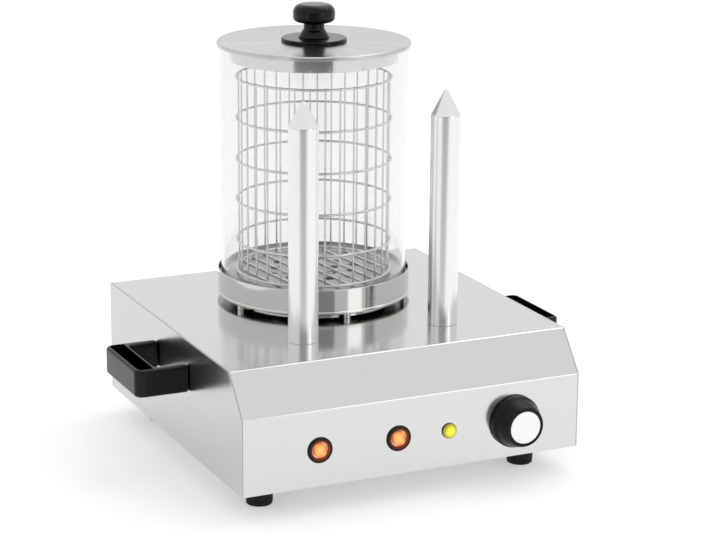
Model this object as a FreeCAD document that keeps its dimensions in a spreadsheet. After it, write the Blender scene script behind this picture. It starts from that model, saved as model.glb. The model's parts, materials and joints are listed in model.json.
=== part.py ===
# Hot dog warmer: a steam pot with a glass cylinder and wire basket, and two heated bun spikes.
# Millimetres, +Z up, +Y to the back. The origin is on the floor, under the middle of the casing.
import FreeCAD, Part
import math
import os

import Sketcher

doc = FreeCAD.newDocument("hot_dog_warmer")

# Driving sizes: name, millimetres (or a count), what it measures
SIZES = [
    ("casing_w", 377, "casing, across the side panels"),
    ("casing_d", 383, "casing, front to back"),
    ("casing_h", 120, "casing, bottom edge to top plate"),
    ("band_h", 79, "upright front band, where the controls sit"),
    ("slope_run", 33, "how far the slope above the band sets back"),
    ("sheet_t", 1.2, "stainless sheet of the casing"),
    ("cover_t", 1.0, "bottom cover sheet"),
    ("flange_w", 14, "inward flange along the foot of each side panel"),
    ("fit_gap", 0.3, "clearance between sheet parts that slip together"),
    ("feet_h", 28, "rubber foot height"),
    ("foot_r", 13.2, "rubber foot radius"),
    ("foot_in_x", 39.5, "foot centre in from the casing's side"),
    ("foot_in_y", 50.5, "foot centre in from the casing's front and back"),
    ("foot_well_r", 5.8, "well for the screw's head in the foot"),
    ("foot_well_h", 12.6, "depth of that well from the floor"),
    ("foot_screw_r", 2.4, "foot screw shank radius"),
    ("foot_nut_r", 4.8, "foot nut, over its corners"),
    ("foot_nut_h", 3.8, "foot nut height"),
    ("handle_len", 100, "carrying handle, front to back"),
    ("handle_reach", 57, "carrying handle, out from the side panel"),
    ("handle_h", 29, "carrying handle height"),
    ("handle_bar", 24, "thickness of the grip bar"),
    ("handle_leg", 10, "thickness of each leg of the handle"),
    ("handle_z", 66.5, "underside of the handle above the casing's bottom edge"),
    ("handle_y", -2, "middle of the handle, front to back"),
    ("handle_corner_r", 9, "outer corner radius of the handle"),
    ("handle_inner_r", 4.5, "corner radius of the finger gap"),
    ("handle_edge", 2.2, "bevel along the handle's edges"),
    ("handle_screw_r", 2.0, "handle screw shank radius"),
    ("handle_screw_in", 16, "how far a handle screw goes into its leg"),
    ("pot_y", 61.5, "axis of the steam pot behind the casing's middle"),
    ("basin_r", 78, "water basin radius inside the rim"),
    ("basin_depth", 55, "water basin depth below the top plate"),
    ("basin_t", 1.0, "water basin sheet"),
    ("basin_flange_r", 90, "water basin rim radius"),
    ("ring_r", 103.8, "seat ring outer radius"),
    ("ring_h", 27, "seat ring wall height"),
    ("ring_lift", 6, "seat ring above the top plate, the height of its feet"),
    ("ring_t", 1.2, "seat ring sheet"),
    ("ring_hole_r", 74, "steam hole in the seat ring's floor"),
    ("ring_foot_r", 4, "foot radius under the seat ring"),
    ("ring_feet", 5, "feet under the seat ring"),
    ("plate_h", 21, "steam plate above the seat ring's floor"),
    ("plate_t", 1.0, "steam plate sheet"),
    ("plate_gap", 0.6, "clearance between steam plate and seat ring"),
    ("plate_hole_r", 5.5, "steam hole radius in the plate"),
    ("plate_pitch", 24, "steam hole spacing"),
    ("glass_r", 100, "glass tube outer radius"),
    ("glass_t", 3, "glass wall"),
    ("glass_h", 250, "glass tube height"),
    ("basket_r", 84.5, "basket radius over its hoops"),
    ("basket_h", 213.5, "top hoop above the steam plate"),
    ("hoop_pitch", 44.3, "spacing of the basket's hoops"),
    ("hoop_wire", 2.6, "thickness of a hoop, square in section"),
    ("upright_wire", 2.0, "upright and floor wires, over their corners"),
    ("uprights", 32, "upright wires"),
    ("grid_pitch", 17, "spacing of the basket's floor wires"),
    ("basket_turn", 7, "turn of the basket about its axis, in degrees"),
    ("lid_r", 103.5, "lid radius"),
    ("lid_t", 1.2, "lid sheet"),
    ("lid_rim", 4.3, "lid edge height"),
    ("collar_r", 90, "collar radius under the lid"),
    ("collar_h", 17.5, "collar depth under the lid"),
    ("collar_t", 1.0, "collar sheet"),
    ("guard_r", 35, "heat guard disc under the lid knob"),
    ("guard_t", 3.5, "heat guard disc thickness"),
    ("lid_knob_h", 35.5, "lid knob height above the guard disc"),
    ("lid_knob_foot_r", 17, "lid knob radius at its foot"),
    ("lid_knob_neck_r", 11, "lid knob neck radius"),
    ("lid_knob_head_r", 22.5, "lid knob head radius"),
    ("lid_knob_head_h", 19, "lid knob head height"),
    ("lid_knob_flare", 8, "height of the flare at the lid knob's foot"),
    ("lid_knob_bevel", 4, "height of the bevel round the lid knob's top"),
    ("lid_knob_crown_r", 17, "flat top of the lid knob"),
    ("lid_screw_r", 2.5, "lid knob screw shank radius"),
    ("lid_screw_l", 20, "lid knob screw inside the knob"),
    ("spike_x", 79.5, "bun spike axis from the middle, sideways"),
    ("spike_y", -92, "bun spike axis from the middle, front to back"),
    ("spike_r", 15.5, "bun spike radius"),
    ("spike_h", 248, "bun spike height above the top plate"),
    ("spike_cone", 26, "height of the spike's point"),
    ("spike_tip_r", 1.6, "blunt end of the spike's point"),
    ("spike_stud_r", 8, "threaded stud of the spike"),
    ("spike_stud_l", 18, "stud length below the top plate's outside"),
    ("spike_bore_r", 6.2, "heater bore in the spike"),
    ("spike_bore_end", 2, "bore beyond the heater's end"),
    ("spike_heater_r", 6.1, "cartridge heater radius"),
    ("spike_heater_l", 190, "cartridge heater length"),
    ("spike_washer_r", 14, "washer under the top plate"),
    ("spike_washer_t", 1.6, "washer thickness"),
    ("spike_nut_r", 13, "spike nut, over its corners"),
    ("spike_nut_h", 8, "spike nut height"),
    ("control_z", 38, "controls above the casing's bottom edge"),
    ("switch_left_x", -105, "left switch centre"),
    ("switch_right_x", -18.6, "right switch centre"),
    ("switch_bezel_r", 12.2, "switch bezel radius"),
    ("switch_bezel_t", 2.4, "switch bezel in front of the panel"),
    ("switch_bevel", 1.0, "bevel round the switch bezel"),
    ("switch_barrel_r", 9.9, "switch barrel radius, through the panel"),
    ("switch_barrel_l", 19, "switch barrel behind the panel's face"),
    ("switch_well_r", 8.5, "well that the rocker tilts in"),
    ("switch_well_l", 5, "depth of that well behind the panel's face"),
    ("rocker_r", 7.8, "rocker button radius"),
    ("rocker_pivot", 0.5, "rocker pivot behind the panel's face"),
    ("rocker_rise", 3.0, "rocker's top and bottom edge in front of its pivot"),
    ("rocker_dip", 1.6, "rocker's middle in front of its pivot"),
    ("rocker_edge", 0.8, "rocker's edge behind its pivot"),
    ("rocker_depth", 2.2, "rocker's middle behind its pivot"),
    ("rocker_pin_in", 0.6, "how far the pin goes into the switch's wall"),
    ("rocker_pin_r", 1.0, "rocker pivot pin radius"),
    ("rocker_pin_gap", 0.06, "running clearance round the rocker's pin"),
    ("rocker_tilt", 9, "rocker tilt each way, in degrees"),
    ("blade_w", 6.3, "terminal blade width"),
    ("blade_t", 0.8, "terminal blade thickness"),
    ("blade_l", 9, "terminal blade length"),
    ("blade_gap", 4.4, "terminal blade from the switch's axis"),
    ("lamp_x", 38.3, "pilot lamp centre"),
    ("lamp_bezel_r", 7.2, "pilot lamp bezel radius"),
    ("lamp_bezel_t", 1.5, "pilot lamp bezel in front of the panel"),
    ("lamp_lens_r", 6.2, "pilot lamp lens radius"),
    ("lamp_lens_h", 3.6, "pilot lamp lens in front of the bezel"),
    ("lamp_lens_bevel", 1.4, "height of the bevel round the lens"),
    ("lamp_lens_face_r", 4.2, "flat front of the lens"),
    ("lamp_barrel_r", 4.9, "pilot lamp barrel radius"),
    ("lamp_barrel_l", 20, "pilot lamp barrel behind the panel's face"),
    ("knob_x", 113.5, "thermostat knob axis"),
    ("knob_reach", 24, "thermostat knob's front in front of the panel"),
    ("knob_gap", 0.8, "knob's skirt to panel"),
    ("skirt_r", 27.5, "knob skirt radius"),
    ("skirt_t", 5, "knob skirt thickness"),
    ("grip_r", 20.6, "knob grip radius at its front"),
    ("grip_draft", 1.4, "how much wider the grip is at its foot"),
    ("cap_r", 17, "bright cap radius"),
    ("cap_t", 1.4, "bright cap thickness"),
    ("cap_gap", 0.2, "clearance round the cap in the knob"),
    ("knob_rim_dip", 0.4, "knob's rim behind the cap's face"),
    ("shaft_r", 3.0, "thermostat shaft radius"),
    ("shaft_gap", 0.05, "running clearance round the shaft"),
    ("shaft_hole_gap", 1.8, "clearance round the shaft in the front panel"),
    ("shaft_in", 12, "shaft inside the thermostat"),
    ("shaft_out", 19, "shaft in front of the panel's face"),
    ("stat_w", 38, "thermostat body width"),
    ("stat_h", 32, "thermostat body height"),
    ("stat_l", 24, "thermostat body depth"),
    ("stat_screw_x", 13, "thermostat screws from the shaft"),
    ("stat_screw_r", 2.0, "thermostat screw shank radius"),
    ("stat_screw_l", 9, "thermostat screw shank length"),
    ("knob_hollow_r", 17.5, "hollow under the knob, over the screw heads"),
    ("knob_hollow_h", 3.6, "depth of that hollow from the panel"),
    ("heater_r", 50, "basin heater radius"),
    ("heater_hole_r", 12, "hole through the basin heater"),
    ("heater_t", 4, "basin heater thickness"),
    ("clamp_l", 92, "clamp bar length under the heater"),
    ("clamp_w", 18, "clamp bar width"),
    ("clamp_t", 2, "clamp bar thickness"),
    ("clamp_stud_r", 3, "stud under the basin"),
    ("clamp_stud_l", 14, "stud length under the basin"),
    ("clamp_nut_r", 5.8, "clamp nut, over its corners"),
    ("clamp_nut_h", 5, "clamp nut height"),
    ("bulb_r", 3, "thermostat bulb radius"),
    ("bulb_l", 54, "thermostat bulb length"),
    ("bulb_off", 60, "bulb in front of the pot's axis"),
    ("capillary_r", 0.9, "capillary tube radius"),
    ("capillary_bend", 16, "bend radius of the capillary"),
    ("clip_w", 12, "bulb clip width"),
    ("clip_t", 1.0, "bulb clip sheet"),
    ("cutout_r", 8, "safety cut-out radius"),
    ("cutout_h", 9, "safety cut-out height"),
    ("cutout_off", 60, "safety cut-out behind the pot's axis"),
    ("terminal_x", -92, "terminal block centre, sideways"),
    ("terminal_y", 150, "terminal block centre, front to back"),
    ("terminal_l", 60, "terminal block length"),
    ("terminal_w", 22, "terminal block width"),
    ("terminal_h", 16, "terminal block height"),
    ("terminal_ways", 5, "ways in the terminal block"),
    ("terminal_bore", 4, "wire way in the terminal block, and its height above the block's foot"),
    ("earth_r", 2.5, "earth stud radius"),
    ("earth_l", 16, "earth stud height"),
    ("gland_x", -120, "cord gland centre, sideways"),
    ("gland_z", 36, "cord gland above the casing's bottom edge"),
    ("gland_reach", 24, "cord gland behind the back panel"),
    ("gland_flange_r", 12, "cord gland flange radius"),
    ("gland_flange_t", 3, "cord gland flange thickness"),
    ("gland_barrel_r", 8, "cord gland barrel through the panel"),
    ("gland_barrel_l", 16, "cord gland barrel inside"),
    ("gland_nose_r", 6.2, "cord gland nose radius"),
    ("gland_bore_r", 3.8, "cord gland bore, for the mains lead"),
    ("gland_nut_r", 13, "gland nut, over its corners"),
    ("gland_nut_h", 5, "gland nut thickness"),
    ("vent_len", 30, "vent slot length"),
    ("vent_w", 4, "vent slot width"),
    ("vent_pitch", 11, "vent slot spacing"),
    ("vents", 9, "vent slots in a row"),
    ("vent_z", 60, "back vents above the casing's bottom edge"),
    ("cover_screw_r", 2.0, "bottom cover screw shank radius"),
    ("cover_screw_l", 8, "bottom cover screw shank length"),
    ("cover_screw_in", 21, "bottom cover screws in from the casing's front and back"),
    ("screw_gap", 0.2, "clearance round a screw in its hole"),
]


class Size:
    """A length with its number and the sheet expression that it follows."""

    def __init__(self, value, text=None):
        self.value = float(value)
        self.text = repr(self.value) if text is None else text

    def __add__(self, other):
        other = as_size(other)
        return Size(self.value + other.value, f"({self.text} + {other.text})")

    def __sub__(self, other):
        other = as_size(other)
        return Size(self.value - other.value, f"({self.text} - {other.text})")

    def __mul__(self, other):
        other = as_size(other)
        return Size(self.value * other.value, f"({self.text} * {other.text})")

    def __truediv__(self, other):
        other = as_size(other)
        return Size(self.value / other.value, f"({self.text} / {other.text})")

    def __radd__(self, other):
        return as_size(other) + self

    def __rsub__(self, other):
        return as_size(other) - self

    def __rmul__(self, other):
        return as_size(other) * self

    def __neg__(self):
        return Size(-self.value, f"(0 - {self.text})")


def as_size(number):
    return number if isinstance(number, Size) else Size(number)


def root(number):
    return Size(math.sqrt(number.value), f"sqrt({number.text})")


def cosine(degrees):
    return Size(math.cos(math.radians(degrees)))


def sine(degrees):
    return Size(math.sin(math.radians(degrees)))


# The sheet of driving sizes
sheet = doc.addObject("Spreadsheet::Sheet", "Sizes")
sheet.set("A1", "size")
sheet.set("B1", "value")
sheet.set("C1", "what it measures")
lengths = {}
for row, (alias, number, meaning) in enumerate(SIZES, start=2):
    sheet.set(f"A{row}", alias)
    sheet.set(f"B{row}", str(number))
    sheet.set(f"C{row}", meaning)
    sheet.setAlias(f"B{row}", alias)
    lengths[alias] = Size(number, f"Sizes.{alias}")
doc.recompute()


class Named:
    """The driving sizes by name."""

    def __getattr__(self, alias):
        return lengths[alias]


s = Named()
nodes = []

X_AXIS = FreeCAD.Vector(1, 0, 0)
Y_AXIS = FreeCAD.Vector(0, 1, 0)
Z_AXIS = FreeCAD.Vector(0, 0, 1)
# Turns that point a piece's own +Z along the named direction
TURNS = {
    "+z": FreeCAD.Rotation(),
    "-z": FreeCAD.Rotation(X_AXIS, 180),
    "+y": FreeCAD.Rotation(X_AXIS, -90),
    "-y": FreeCAD.Rotation(X_AXIS, 90),
    "+x": FreeCAD.Rotation(Y_AXIS, 90),
    "-x": FreeCAD.Rotation(Y_AXIS, -90),
}
HALF_TURN = FreeCAD.Rotation(Z_AXIS, 180)
# Sides of a small round, and of a basket wire
SMALL_SIDES = 12
WIRE_SIDES = 6
# A screw's head over its corners and its head's height, as multiples of the shank's radius
HEAD_WIDTH = 2.0
HEAD_HEIGHT = 1.2


def bind(thing, prop, size):
    """Sets a property to a size and keeps it on the sheet."""
    thing.setExpression(prop, as_size(size).text)


def place(thing, x=0, y=0, z=0, turn=None):
    """Puts a piece at a point given by sizes, turned as asked."""
    point = [as_size(v) for v in (x, y, z)]
    rotation = FreeCAD.Rotation() if turn is None else turn
    thing.Placement = FreeCAD.Placement(FreeCAD.Vector(*[v.value for v in point]), rotation)
    for letter, value in zip("xyz", point):
        bind(thing, f"Placement.Base.{letter}", value)
    return thing


def node(name, thing):
    """Names a finished piece; its label is also its file's name."""
    thing.Label = name
    nodes.append((name, thing))
    return thing


def origin_plane(body, role):
    return next(f for f in body.Origin.OriginFeatures if f.Role == role)


def outline(body, name, plane, corners):
    """A closed outline of straight lines in a sketch, with every corner held by sizes."""
    sketch = body.newObject("Sketcher::SketchObject", name)
    sketch.AttachmentSupport = (origin_plane(body, plane), [""])
    sketch.MapMode = "FlatFace"
    points = [(as_size(x), as_size(y)) for x, y in corners]
    vectors = [FreeCAD.Vector(x.value, y.value, 0) for x, y in points]
    count = len(points)
    lines = [Part.LineSegment(vectors[i], vectors[(i + 1) % count]) for i in range(count)]
    sketch.addGeometry(lines, False)
    for i in range(count):
        sketch.addConstraint(Sketcher.Constraint("Coincident", i, 2, (i + 1) % count, 1))
    for i, (x, y) in enumerate(points):
        for kind, axis, value in (("DistanceX", -2, x), ("DistanceY", -1, y)):
            if value.value == 0:
                sketch.addConstraint(Sketcher.Constraint("PointOnObject", i, 1, axis))
                continue
            index = sketch.addConstraint(Sketcher.Constraint(kind, -1, 1, i, 1, value.value))
            bind(sketch, f"Constraints[{index}]", value)
    return sketch


def turned(name, corners):
    """A body turned about its own Z from an outline of (radius, height) corners."""
    body = doc.addObject("PartDesign::Body", name + "_body")
    sketch = outline(body, name + "_section", "XZ_Plane", corners)
    feature = body.newObject("PartDesign::Revolution", name + "_turned")
    feature.Profile = sketch
    feature.ReferenceAxis = (sketch, ["V_Axis"])
    feature.Angle = 360
    return body


def padded(name, plane, corners, length):
    """A body padded from an outline on one of its origin planes."""
    body = doc.addObject("PartDesign::Body", name + "_body")
    sketch = outline(body, name + "_outline", plane, corners)
    feature = body.newObject("PartDesign::Pad", name + "_pad")
    feature.Profile = sketch
    bind(feature, "Length", length)
    return body


def dressed(body, kind, prop, size, wanted, name):
    """Rounds or bevels the edges of a body's tip that pass the test."""
    doc.recompute()
    base = body.Tip
    picked = [f"Edge{i}" for i, edge in enumerate(base.Shape.Edges, start=1) if wanted(edge)]
    feature = body.newObject(kind, name)
    feature.Base = (base, picked)
    bind(feature, prop, size)


def rounded(body, radius, wanted, name):
    dressed(body, "PartDesign::Fillet", "Radius", radius, wanted, name)


def chamfered(body, size, wanted, name):
    dressed(body, "PartDesign::Chamfer", "Size", size, wanted, name)


def cylinder(name, radius, height, x=0, y=0, z=0, along="+z"):
    blank = doc.addObject("Part::Cylinder", name)
    bind(blank, "Radius", radius)
    bind(blank, "Height", height)
    return place(blank, x, y, z, TURNS[along])


def prism(name, sides, radius, height, x=0, y=0, z=0, along="+z"):
    """A blank with that many equal sides, its radius over the corners."""
    blank = doc.addObject("Part::Prism", name)
    blank.Polygon = sides
    bind(blank, "Circumradius", radius)
    bind(blank, "Height", height)
    return place(blank, x, y, z, TURNS[along])


def rod(name, radius, height, x=0, y=0, z=0, along="+z"):
    """A small round such as a screw's shank, drawn with few sides to keep the model light."""
    return prism(name, SMALL_SIDES, radius, height, x, y, z, along)


def drilling(name, radius, height, x=0, y=0, z=0, along="+z"):
    """A hole for a small round, with the same few sides; its flats clear the radius."""
    return prism(name, SMALL_SIDES, radius / cosine(180 / SMALL_SIDES), height, x, y, z, along)


def box(name, length, width, height, x=0, y=0, z=0):
    """A block whose lowest corner is at x, y, z."""
    block = doc.addObject("Part::Box", name)
    bind(block, "Length", length)
    bind(block, "Width", width)
    bind(block, "Height", height)
    return place(block, x, y, z)


def fused(name, pieces):
    joined = doc.addObject("Part::MultiFuse", name)
    joined.Shapes = pieces
    joined.Refine = True
    return joined


def cut(name, base, tools):
    """The base with every tool taken out of it."""
    removed = tools[0] if len(tools) == 1 else fused(name + "_tools", tools)
    remainder = doc.addObject("Part::Cut", name)
    remainder.Base = base
    remainder.Tool = removed
    return remainder


def group(name, pieces):
    """Like pieces kept as separate solids in one node."""
    together = doc.addObject("Part::Compound", name)
    together.Links = pieces
    return together


def screw(name, shank_r, shank_l, x, y, z, along):
    """A hexagon-head screw: its head sits on the point, and its shank runs along the direction."""
    head = prism(name + "_head", 6, shank_r * HEAD_WIDTH, shank_r * HEAD_HEIGHT, 0, 0, -(shank_r * HEAD_HEIGHT))
    shank = rod(name + "_shank", shank_r, shank_l)
    return place(fused(name, [head, shank]), x, y, z, TURNS[along])


def nut(name, corner_r, height, bore_r, x, y, z, along="-z"):
    blank = prism(name + "_blank", 6, corner_r, height, x, y, z, along)
    hole = drilling(name + "_hole", bore_r, height, x, y, z, along)
    return cut(name, blank, [hole])


# Levels and faces that several pieces share
bottom_z = s.feet_h
top_z = s.feet_h + s.casing_h
front_y = -(s.casing_d / 2)
back_y = s.casing_d / 2
inner_x = s.casing_w / 2 - s.sheet_t
under_top_z = top_z - s.sheet_t
control_z = bottom_z + s.control_z
ring_floor_z = top_z + s.ring_lift + s.ring_t
plate_z = ring_floor_z + s.plate_h
glass_top_z = plate_z + s.glass_h
lid_top_z = glass_top_z + s.lid_t
basin_floor_z = top_z - s.basin_depth
handle_mid_z = bottom_z + s.handle_z + s.handle_h / 2
earth_x = s.terminal_x + s.terminal_l
# Hoops of the basket, rows of steam holes each side of the middle one, and the first ring foot's bearing
HOOPS = 6
STEAM_ROWS = 2
RING_FOOT_TURN = -93


def make_casing():
    """The folded front and top sheet with its back panel, side panels and bottom cover."""
    rise = s.casing_h - s.band_h
    slant = root(s.slope_run * s.slope_run + rise * rise)
    fold_low = s.sheet_t * (slant - rise) / s.slope_run
    fold_high = s.sheet_t * (slant - s.slope_run) / rise
    slope_top_y = front_y + s.slope_run
    inner_front_y = front_y + s.sheet_t
    inner_back_y = back_y - s.sheet_t
    band_top_z = bottom_z + s.band_h

    # One sheet folded twice makes the front band, the slope and the top
    wrap = padded("wrap_sheet", "YZ_Plane", [
        (front_y, bottom_z), (front_y, band_top_z), (slope_top_y, top_z), (inner_back_y, top_z),
        (inner_back_y, under_top_z), (slope_top_y + fold_high, under_top_z),
        (inner_front_y, band_top_z - fold_low), (inner_front_y, bottom_z)], s.casing_w - 2 * s.sheet_t)
    place(wrap, x=-inner_x)
    through = s.sheet_t * 4
    under = top_z - s.sheet_t * 2
    behind = front_y + s.sheet_t * 2
    holes = [cylinder("basin_opening", s.basin_r + s.basin_t + s.fit_gap, through, 0, s.pot_y, under)]
    for side, x in (("left", -s.spike_x), ("right", s.spike_x)):
        holes.append(cylinder(f"{side}_spike_hole", s.spike_stud_r + s.screw_gap, through, x, s.spike_y, under))
    for name, x, radius in (("left_switch", s.switch_left_x, s.switch_barrel_r + s.screw_gap),
                            ("right_switch", s.switch_right_x, s.switch_barrel_r + s.screw_gap),
                            ("lamp", s.lamp_x, s.lamp_barrel_r + s.screw_gap),
                            ("shaft", s.knob_x, s.shaft_r + s.shaft_hole_gap)):
        holes.append(cylinder(f"{name}_hole", radius, through, x, behind, control_z, "-y"))
    for i, x in enumerate(stat_screw_xs()):
        holes.append(drilling(f"stat_hole_{i}", s.stat_screw_r + s.screw_gap, through, x, behind, control_z, "-y"))
    node("casing_wrap", cut("wrap", wrap, holes))

    # The back panel closes the casing behind, with the vents and the cord gland's hole
    back = box("back_sheet", s.casing_w - 2 * s.sheet_t, s.sheet_t, s.casing_h, -inner_x, inner_back_y, bottom_z)
    inside = back_y - s.sheet_t * 2
    holes = [cylinder("gland_hole", s.gland_barrel_r + s.screw_gap, through, s.gland_x, inside,
                      bottom_z + s.gland_z, "+y")]
    for i, x in enumerate(vent_xs()):
        holes.append(box(f"back_vent_{i}", s.vent_w, through, s.vent_len, x, inside, bottom_z + s.vent_z))
    node("back_panel", cut("back", back, holes))

    # The side panels cover the ends of the other sheets, with a flange turned in at the foot
    ends = [(front_y, bottom_z), (front_y, band_top_z), (slope_top_y, top_z), (back_y, top_z), (back_y, bottom_z)]
    for side, panel_x, flange_x, drill_x, screw_x in (
            ("left", -(s.casing_w / 2), -inner_x, -(s.casing_w / 2) - s.sheet_t, -cover_screw_x()),
            ("right", inner_x, inner_x - s.flange_w, inner_x - s.sheet_t, cover_screw_x())):
        panel = place(padded(f"{side}_panel_sheet", "YZ_Plane", ends, s.sheet_t), x=panel_x)
        flange = box(f"{side}_flange", s.flange_w, s.casing_d - s.sheet_t * 4, s.sheet_t, flange_x,
                     front_y + s.sheet_t * 2, bottom_z + s.cover_t)
        tools = [drilling(f"{side}_handle_hole_{i}", s.handle_screw_r + s.screw_gap, s.sheet_t * 3, drill_x, y,
                          handle_mid_z, "+x") for i, y in enumerate(handle_screw_ys())]
        tools += [drilling(f"{side}_flange_hole_{i}", s.cover_screw_r + s.screw_gap, s.sheet_t * 3, screw_x, y,
                           bottom_z + s.cover_t - s.sheet_t) for i, y in enumerate(cover_screw_ys())]
        node(f"{side}_side_panel", cut(f"{side}_panel", fused(f"{side}_panel_whole", [panel, flange]), tools))

    # The bottom cover slips up between the panels and screws to their flanges
    cover_w = 2 * (inner_x - s.fit_gap)
    cover_d = s.casing_d - 2 * (s.sheet_t + s.fit_gap)
    cover = box("cover_sheet", cover_w, cover_d, s.cover_t, -(cover_w / 2), -(cover_d / 2), bottom_z)
    below = bottom_z - s.cover_t
    through = s.cover_t * 3
    openings = [drilling(f"foot_hole_{i}", s.foot_screw_r + s.screw_gap, through, x, y, below)
                for i, (x, y) in enumerate(foot_places())]
    openings += [drilling(f"cover_hole_{i}", s.cover_screw_r + s.screw_gap, through, x, y, below)
                 for i, (x, y) in enumerate(cover_screw_places())]
    openings += [box(f"cover_vent_{i}", s.vent_w, s.vent_len, through, x, s.pot_y - s.vent_len / 2, below)
                 for i, x in enumerate(vent_xs())]
    openings.append(drilling("earth_hole", s.earth_r + s.screw_gap, through, earth_x, s.terminal_y, below))
    node("bottom_cover", cut("cover", cover, openings))
    screws = [screw(f"cover_screw_{i}", s.cover_screw_r, s.cover_screw_l, x, y, bottom_z, "+z")
              for i, (x, y) in enumerate(cover_screw_places())]
    node("cover_screws", group("cover_screw_set", screws))


def vent_xs():
    """Left edges of the vent slots, in a row about the middle."""
    return [(i - (s.vents - 1) / 2) * s.vent_pitch - s.vent_w / 2 for i in range(int(s.vents.value))]


def stat_screw_xs():
    return [s.knob_x - s.stat_screw_x, s.knob_x + s.stat_screw_x]


def handle_screw_ys():
    reach = s.handle_len / 2 - s.handle_leg / 2
    return [s.handle_y - reach, s.handle_y + reach]


def cover_screw_x():
    return inner_x - s.flange_w / 2


def cover_screw_ys():
    reach = s.casing_d / 2 - s.cover_screw_in
    return [-reach, reach]


def cover_screw_places():
    return [(x, y) for x in (-cover_screw_x(), cover_screw_x()) for y in cover_screw_ys()]


def foot_places():
    x = s.casing_w / 2 - s.foot_in_x
    y = s.casing_d / 2 - s.foot_in_y
    return [(-x, -y), (x, -y), (-x, y), (x, y)]


def make_feet():
    """Four rubber feet, each held by a screw up its middle and a nut inside."""
    hole_r = s.foot_screw_r + s.screw_gap
    feet = []
    screws = []
    nuts = []
    for i, (x, y) in enumerate(foot_places()):
        blank = cylinder(f"foot_{i}", s.foot_r, s.feet_h, x, y, 0)
        well = drilling(f"foot_well_{i}", s.foot_well_r, s.foot_well_h, x, y, 0)
        hole = drilling(f"foot_bore_{i}", hole_r, s.feet_h, x, y, 0)
        feet.append(cut(f"foot_cut_{i}", blank, [well, hole]))
        length = s.feet_h - s.foot_well_h + s.cover_t + s.foot_nut_h + s.foot_screw_r
        screws.append(screw(f"foot_screw_{i}", s.foot_screw_r, length, x, y, s.foot_well_h, "+z"))
        nuts.append(nut(f"foot_nut_{i}", s.foot_nut_r, s.foot_nut_h, hole_r, x, y, bottom_z + s.cover_t, "+z"))
    node("rubber_feet", group("foot_set", feet))
    node("foot_screws", group("foot_screw_set", screws))
    node("foot_nuts", group("foot_nut_set", nuts))


def make_handles():
    """Bridge handles of moulded plastic, screwed on from inside the casing."""
    half = s.handle_len / 2
    inner = half - s.handle_leg
    gap = s.handle_reach - s.handle_bar
    corners = [(0, -half), (s.handle_reach, -half), (s.handle_reach, half), (0, half),
               (0, inner), (gap, inner), (gap, -inner), (0, -inner)]
    close = 0.01

    def upright(edge, x, y):
        a, b = edge.Vertexes[0].Point, edge.Vertexes[-1].Point
        same_place = abs(a.x - b.x) < close and abs(a.y - b.y) < close
        return same_place and abs(a.x - x.value) < close and abs(abs(a.y) - y.value) < close

    def rim(edge):
        a, b = edge.Vertexes[0].Point, edge.Vertexes[-1].Point
        return abs(a.z - b.z) < close and not (a.x < close and b.x < close)

    screws = []
    for side, turn, face, seat, along in (("left", HALF_TURN, -(s.casing_w / 2), -inner_x, "-x"),
                                          ("right", None, s.casing_w / 2, inner_x, "+x")):
        body = padded(f"{side}_grip", "XY_Plane", corners, s.handle_h)
        rounded(body, s.handle_corner_r, lambda e: upright(e, s.handle_reach, half), f"{side}_grip_corners")
        rounded(body, s.handle_inner_r, lambda e: upright(e, gap, inner), f"{side}_grip_inner_corners")
        chamfered(body, s.handle_edge, rim, f"{side}_grip_edges")
        place(body, face, s.handle_y, bottom_z + s.handle_z, turn)
        bores = []
        for i, y in enumerate(handle_screw_ys()):
            bores.append(drilling(f"{side}_grip_bore_{i}", s.handle_screw_r + s.shaft_gap,
                                  s.handle_screw_in, face, y, handle_mid_z, along))
            screws.append(screw(f"{side}_handle_screw_{i}", s.handle_screw_r, s.handle_screw_in, seat, y,
                                handle_mid_z, along))
        node(f"{side}_handle", cut(f"{side}_grip_bored", body, bores))
    node("handle_screws", group("handle_screw_set", screws))


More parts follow.
